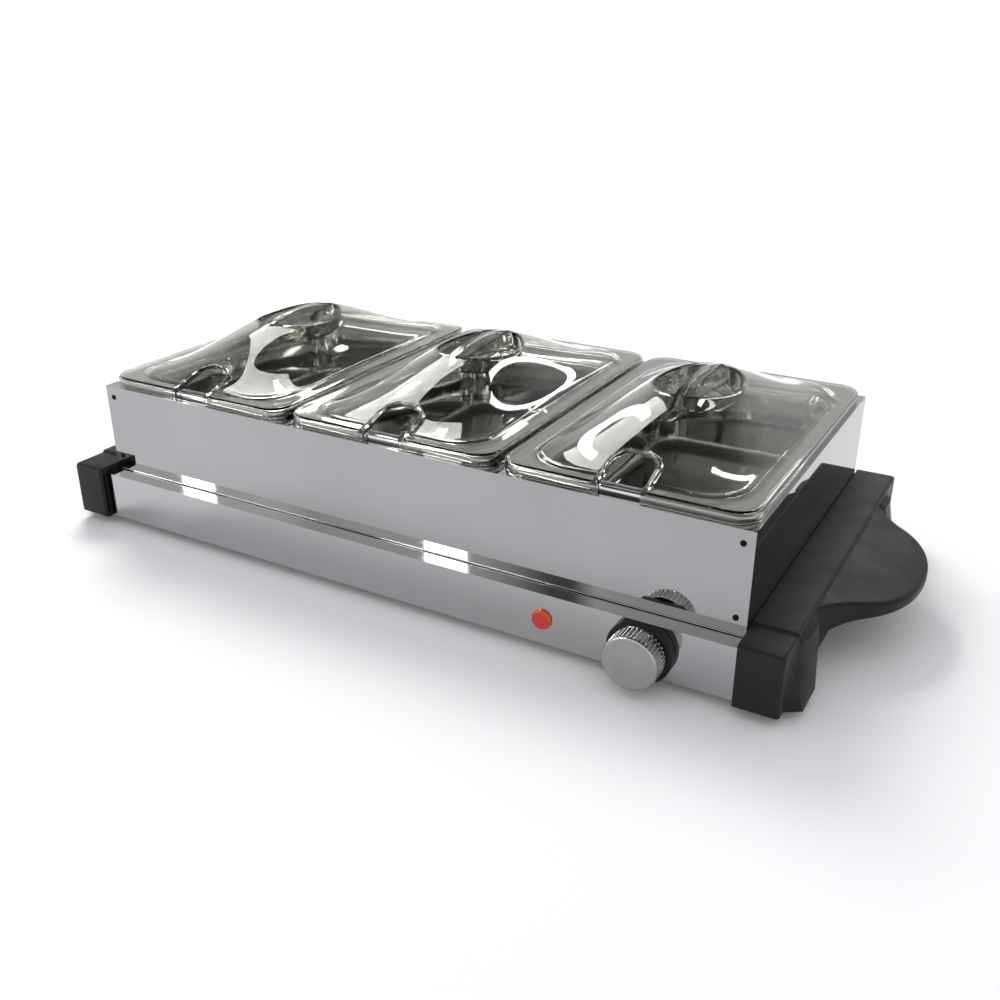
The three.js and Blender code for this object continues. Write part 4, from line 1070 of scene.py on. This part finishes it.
# Brightness by degrees from the front towards the left: window light with two dark gaps in it.
AROUND_PEAK = 2.0
AROUND_PROFILE = (
    (-180, 0.85), (-80, 0.9), (-10, 1.5), (17, 1.5), (23, 1.6), (24.2, 1.7), (24.8, 0.3), (27.0, 0.3),
    (28.5, 0.9), (31, 1.5), (39, 1.5), (40.3, 1.2), (41.5, 1.35), (43, 1.95), (44, 1.6), (52, 1.55), (80, 1.2), (120, 0.9), (180, 0.85),
)


def floor():
    reach = 9.0
    verts = [(x * reach, y * reach, 0) for x, y in ((-1, -1), (1, -1), (1, 1), (-1, 1))]
    plane = solid("floor", verts, [(0, 1, 2, 3)], pale_floor())


def area_light(name, place, aim, size, power, color=(1, 1, 1)):
    data = bpy.data.lights.new(name, "AREA")
    data.shape = "RECTANGLE"
    data.size, data.size_y = size
    data.energy = power
    data.color = color
    light = bpy.data.objects.new(name, data)
    light.location = place
    light.rotation_mode = "QUATERNION"
    light.rotation_quaternion = (Vector(aim) - Vector(place)).to_track_quat("-Z", "Y")
    light.visible_camera = False
    bpy.context.scene.collection.objects.link(light)
    return light


def studio_world():
    """White to the eye and to matt surfaces; a softly lit studio in everything glossy."""
    world = bpy.data.worlds.new("studio")
    bpy.context.scene.world = world
    world.use_nodes = True
    tree = world.node_tree
    tree.nodes.clear()
    link = tree.links.new

    def node(kind, *inputs, **settings):
        made = tree.nodes.new(kind)
        for key, value in settings.items():
            setattr(made, key, value)
        for socket, value in zip(made.inputs, inputs):
            if isinstance(value, bpy.types.NodeSocket):
                link(value, socket)
            elif value is not None:
                socket.default_value = value
        return made.outputs

    def profile(position, stops):
        made = tree.nodes.new("ShaderNodeValToRGB")
        link(position, made.inputs["Fac"])
        while len(made.color_ramp.elements) < len(stops):
            made.color_ramp.elements.new(0.5)
        for element, (place, grey) in zip(made.color_ramp.elements, stops):
            element.position = place
            element.color = (grey, grey, grey, 1)
        return made.outputs["Color"]

    axes = node("ShaderNodeSeparateXYZ", node("ShaderNodeTexCoord")["Generated"])
    left = node("ShaderNodeMath", axes["X"], -1.0, operation="MULTIPLY")[0]
    front = node("ShaderNodeMath", axes["Y"], -1.0, operation="MULTIPLY")[0]
    azimuth = node("ShaderNodeMath", left, front, operation="ARCTAN2")[0]
    turn = node("ShaderNodeMath", azimuth, 1 / (2 * math.pi), 0.5, operation="MULTIPLY_ADD")[0]
    height = profile(axes["Z"], HEIGHT_PROFILE)
    around = profile(turn, [(degrees / 360 + 0.5, grey / AROUND_PEAK) for degrees, grey in AROUND_PROFILE])
    studio = node("ShaderNodeVectorMath", height, around, operation="MULTIPLY")[0]
    gloss = node("ShaderNodeBackground", studio, AROUND_PEAK)[0]
    matt = node("ShaderNodeBackground", MATT_SKY, 1.0)[0]
    plain = node("ShaderNodeBackground", (1, 1, 1, 1), 1.15)[0]
    kind = node("ShaderNodeLightPath")
    seen = node("ShaderNodeMixShader", kind["Is Diffuse Ray"], gloss, matt)[0]
    seen = node("ShaderNodeMixShader", kind["Is Camera Ray"], seen, plain)[0]
    node("ShaderNodeOutputWorld", seen)


def camera():
    """At the photograph's viewing angle, as fitted to the object's own straight edges."""
    data = bpy.data.cameras.new("view")
    data.sensor_width = 36
    data.lens = 38.71
    yaw, pitch = -0.51934, 0.43032
    look = Vector((math.sin(yaw) * math.cos(pitch), math.cos(yaw) * math.cos(pitch), -math.sin(pitch)))
    view = bpy.data.objects.new("view", data)
    view.location = (0.4029, -0.66275, 0.3808)
    view.rotation_mode = "QUATERNION"
    view.rotation_quaternion = look.to_track_quat("-Z", "Y")
    bpy.context.scene.collection.objects.link(view)
    bpy.context.scene.camera = view


floor()
studio_world()
camera()
panel_strips = [
    area_light("window_left", (-1.693, -1.55, 0.95), (-0.165, -0.13, 0.12), (0.08, 1.5), 9),
    area_light("window_right", (-0.987, -1.72, 1.05), (0.055, -0.13, 0.12), (0.11, 1.5), 9),
    area_light("strip_rear_left", (-1.344, 1.546, 1.55), (0, 0, 0.12), (0.12, 1.34), 7.2),
    area_light("strip_rear", (0.17, 1.95, 1.68), (0, 0, 0.12), (0.12, 1.2), 6.5),
]
for light in panel_strips:
    light.visible_diffuse = False
key = area_light("key", (-1.3, 1.15, 1.8), (0, 0, 0), (1.0, 1.0), 42)
key.visible_glossy = False
bpy.context.scene.view_settings.view_transform = "Standard"

bpy.context.view_layer.update()
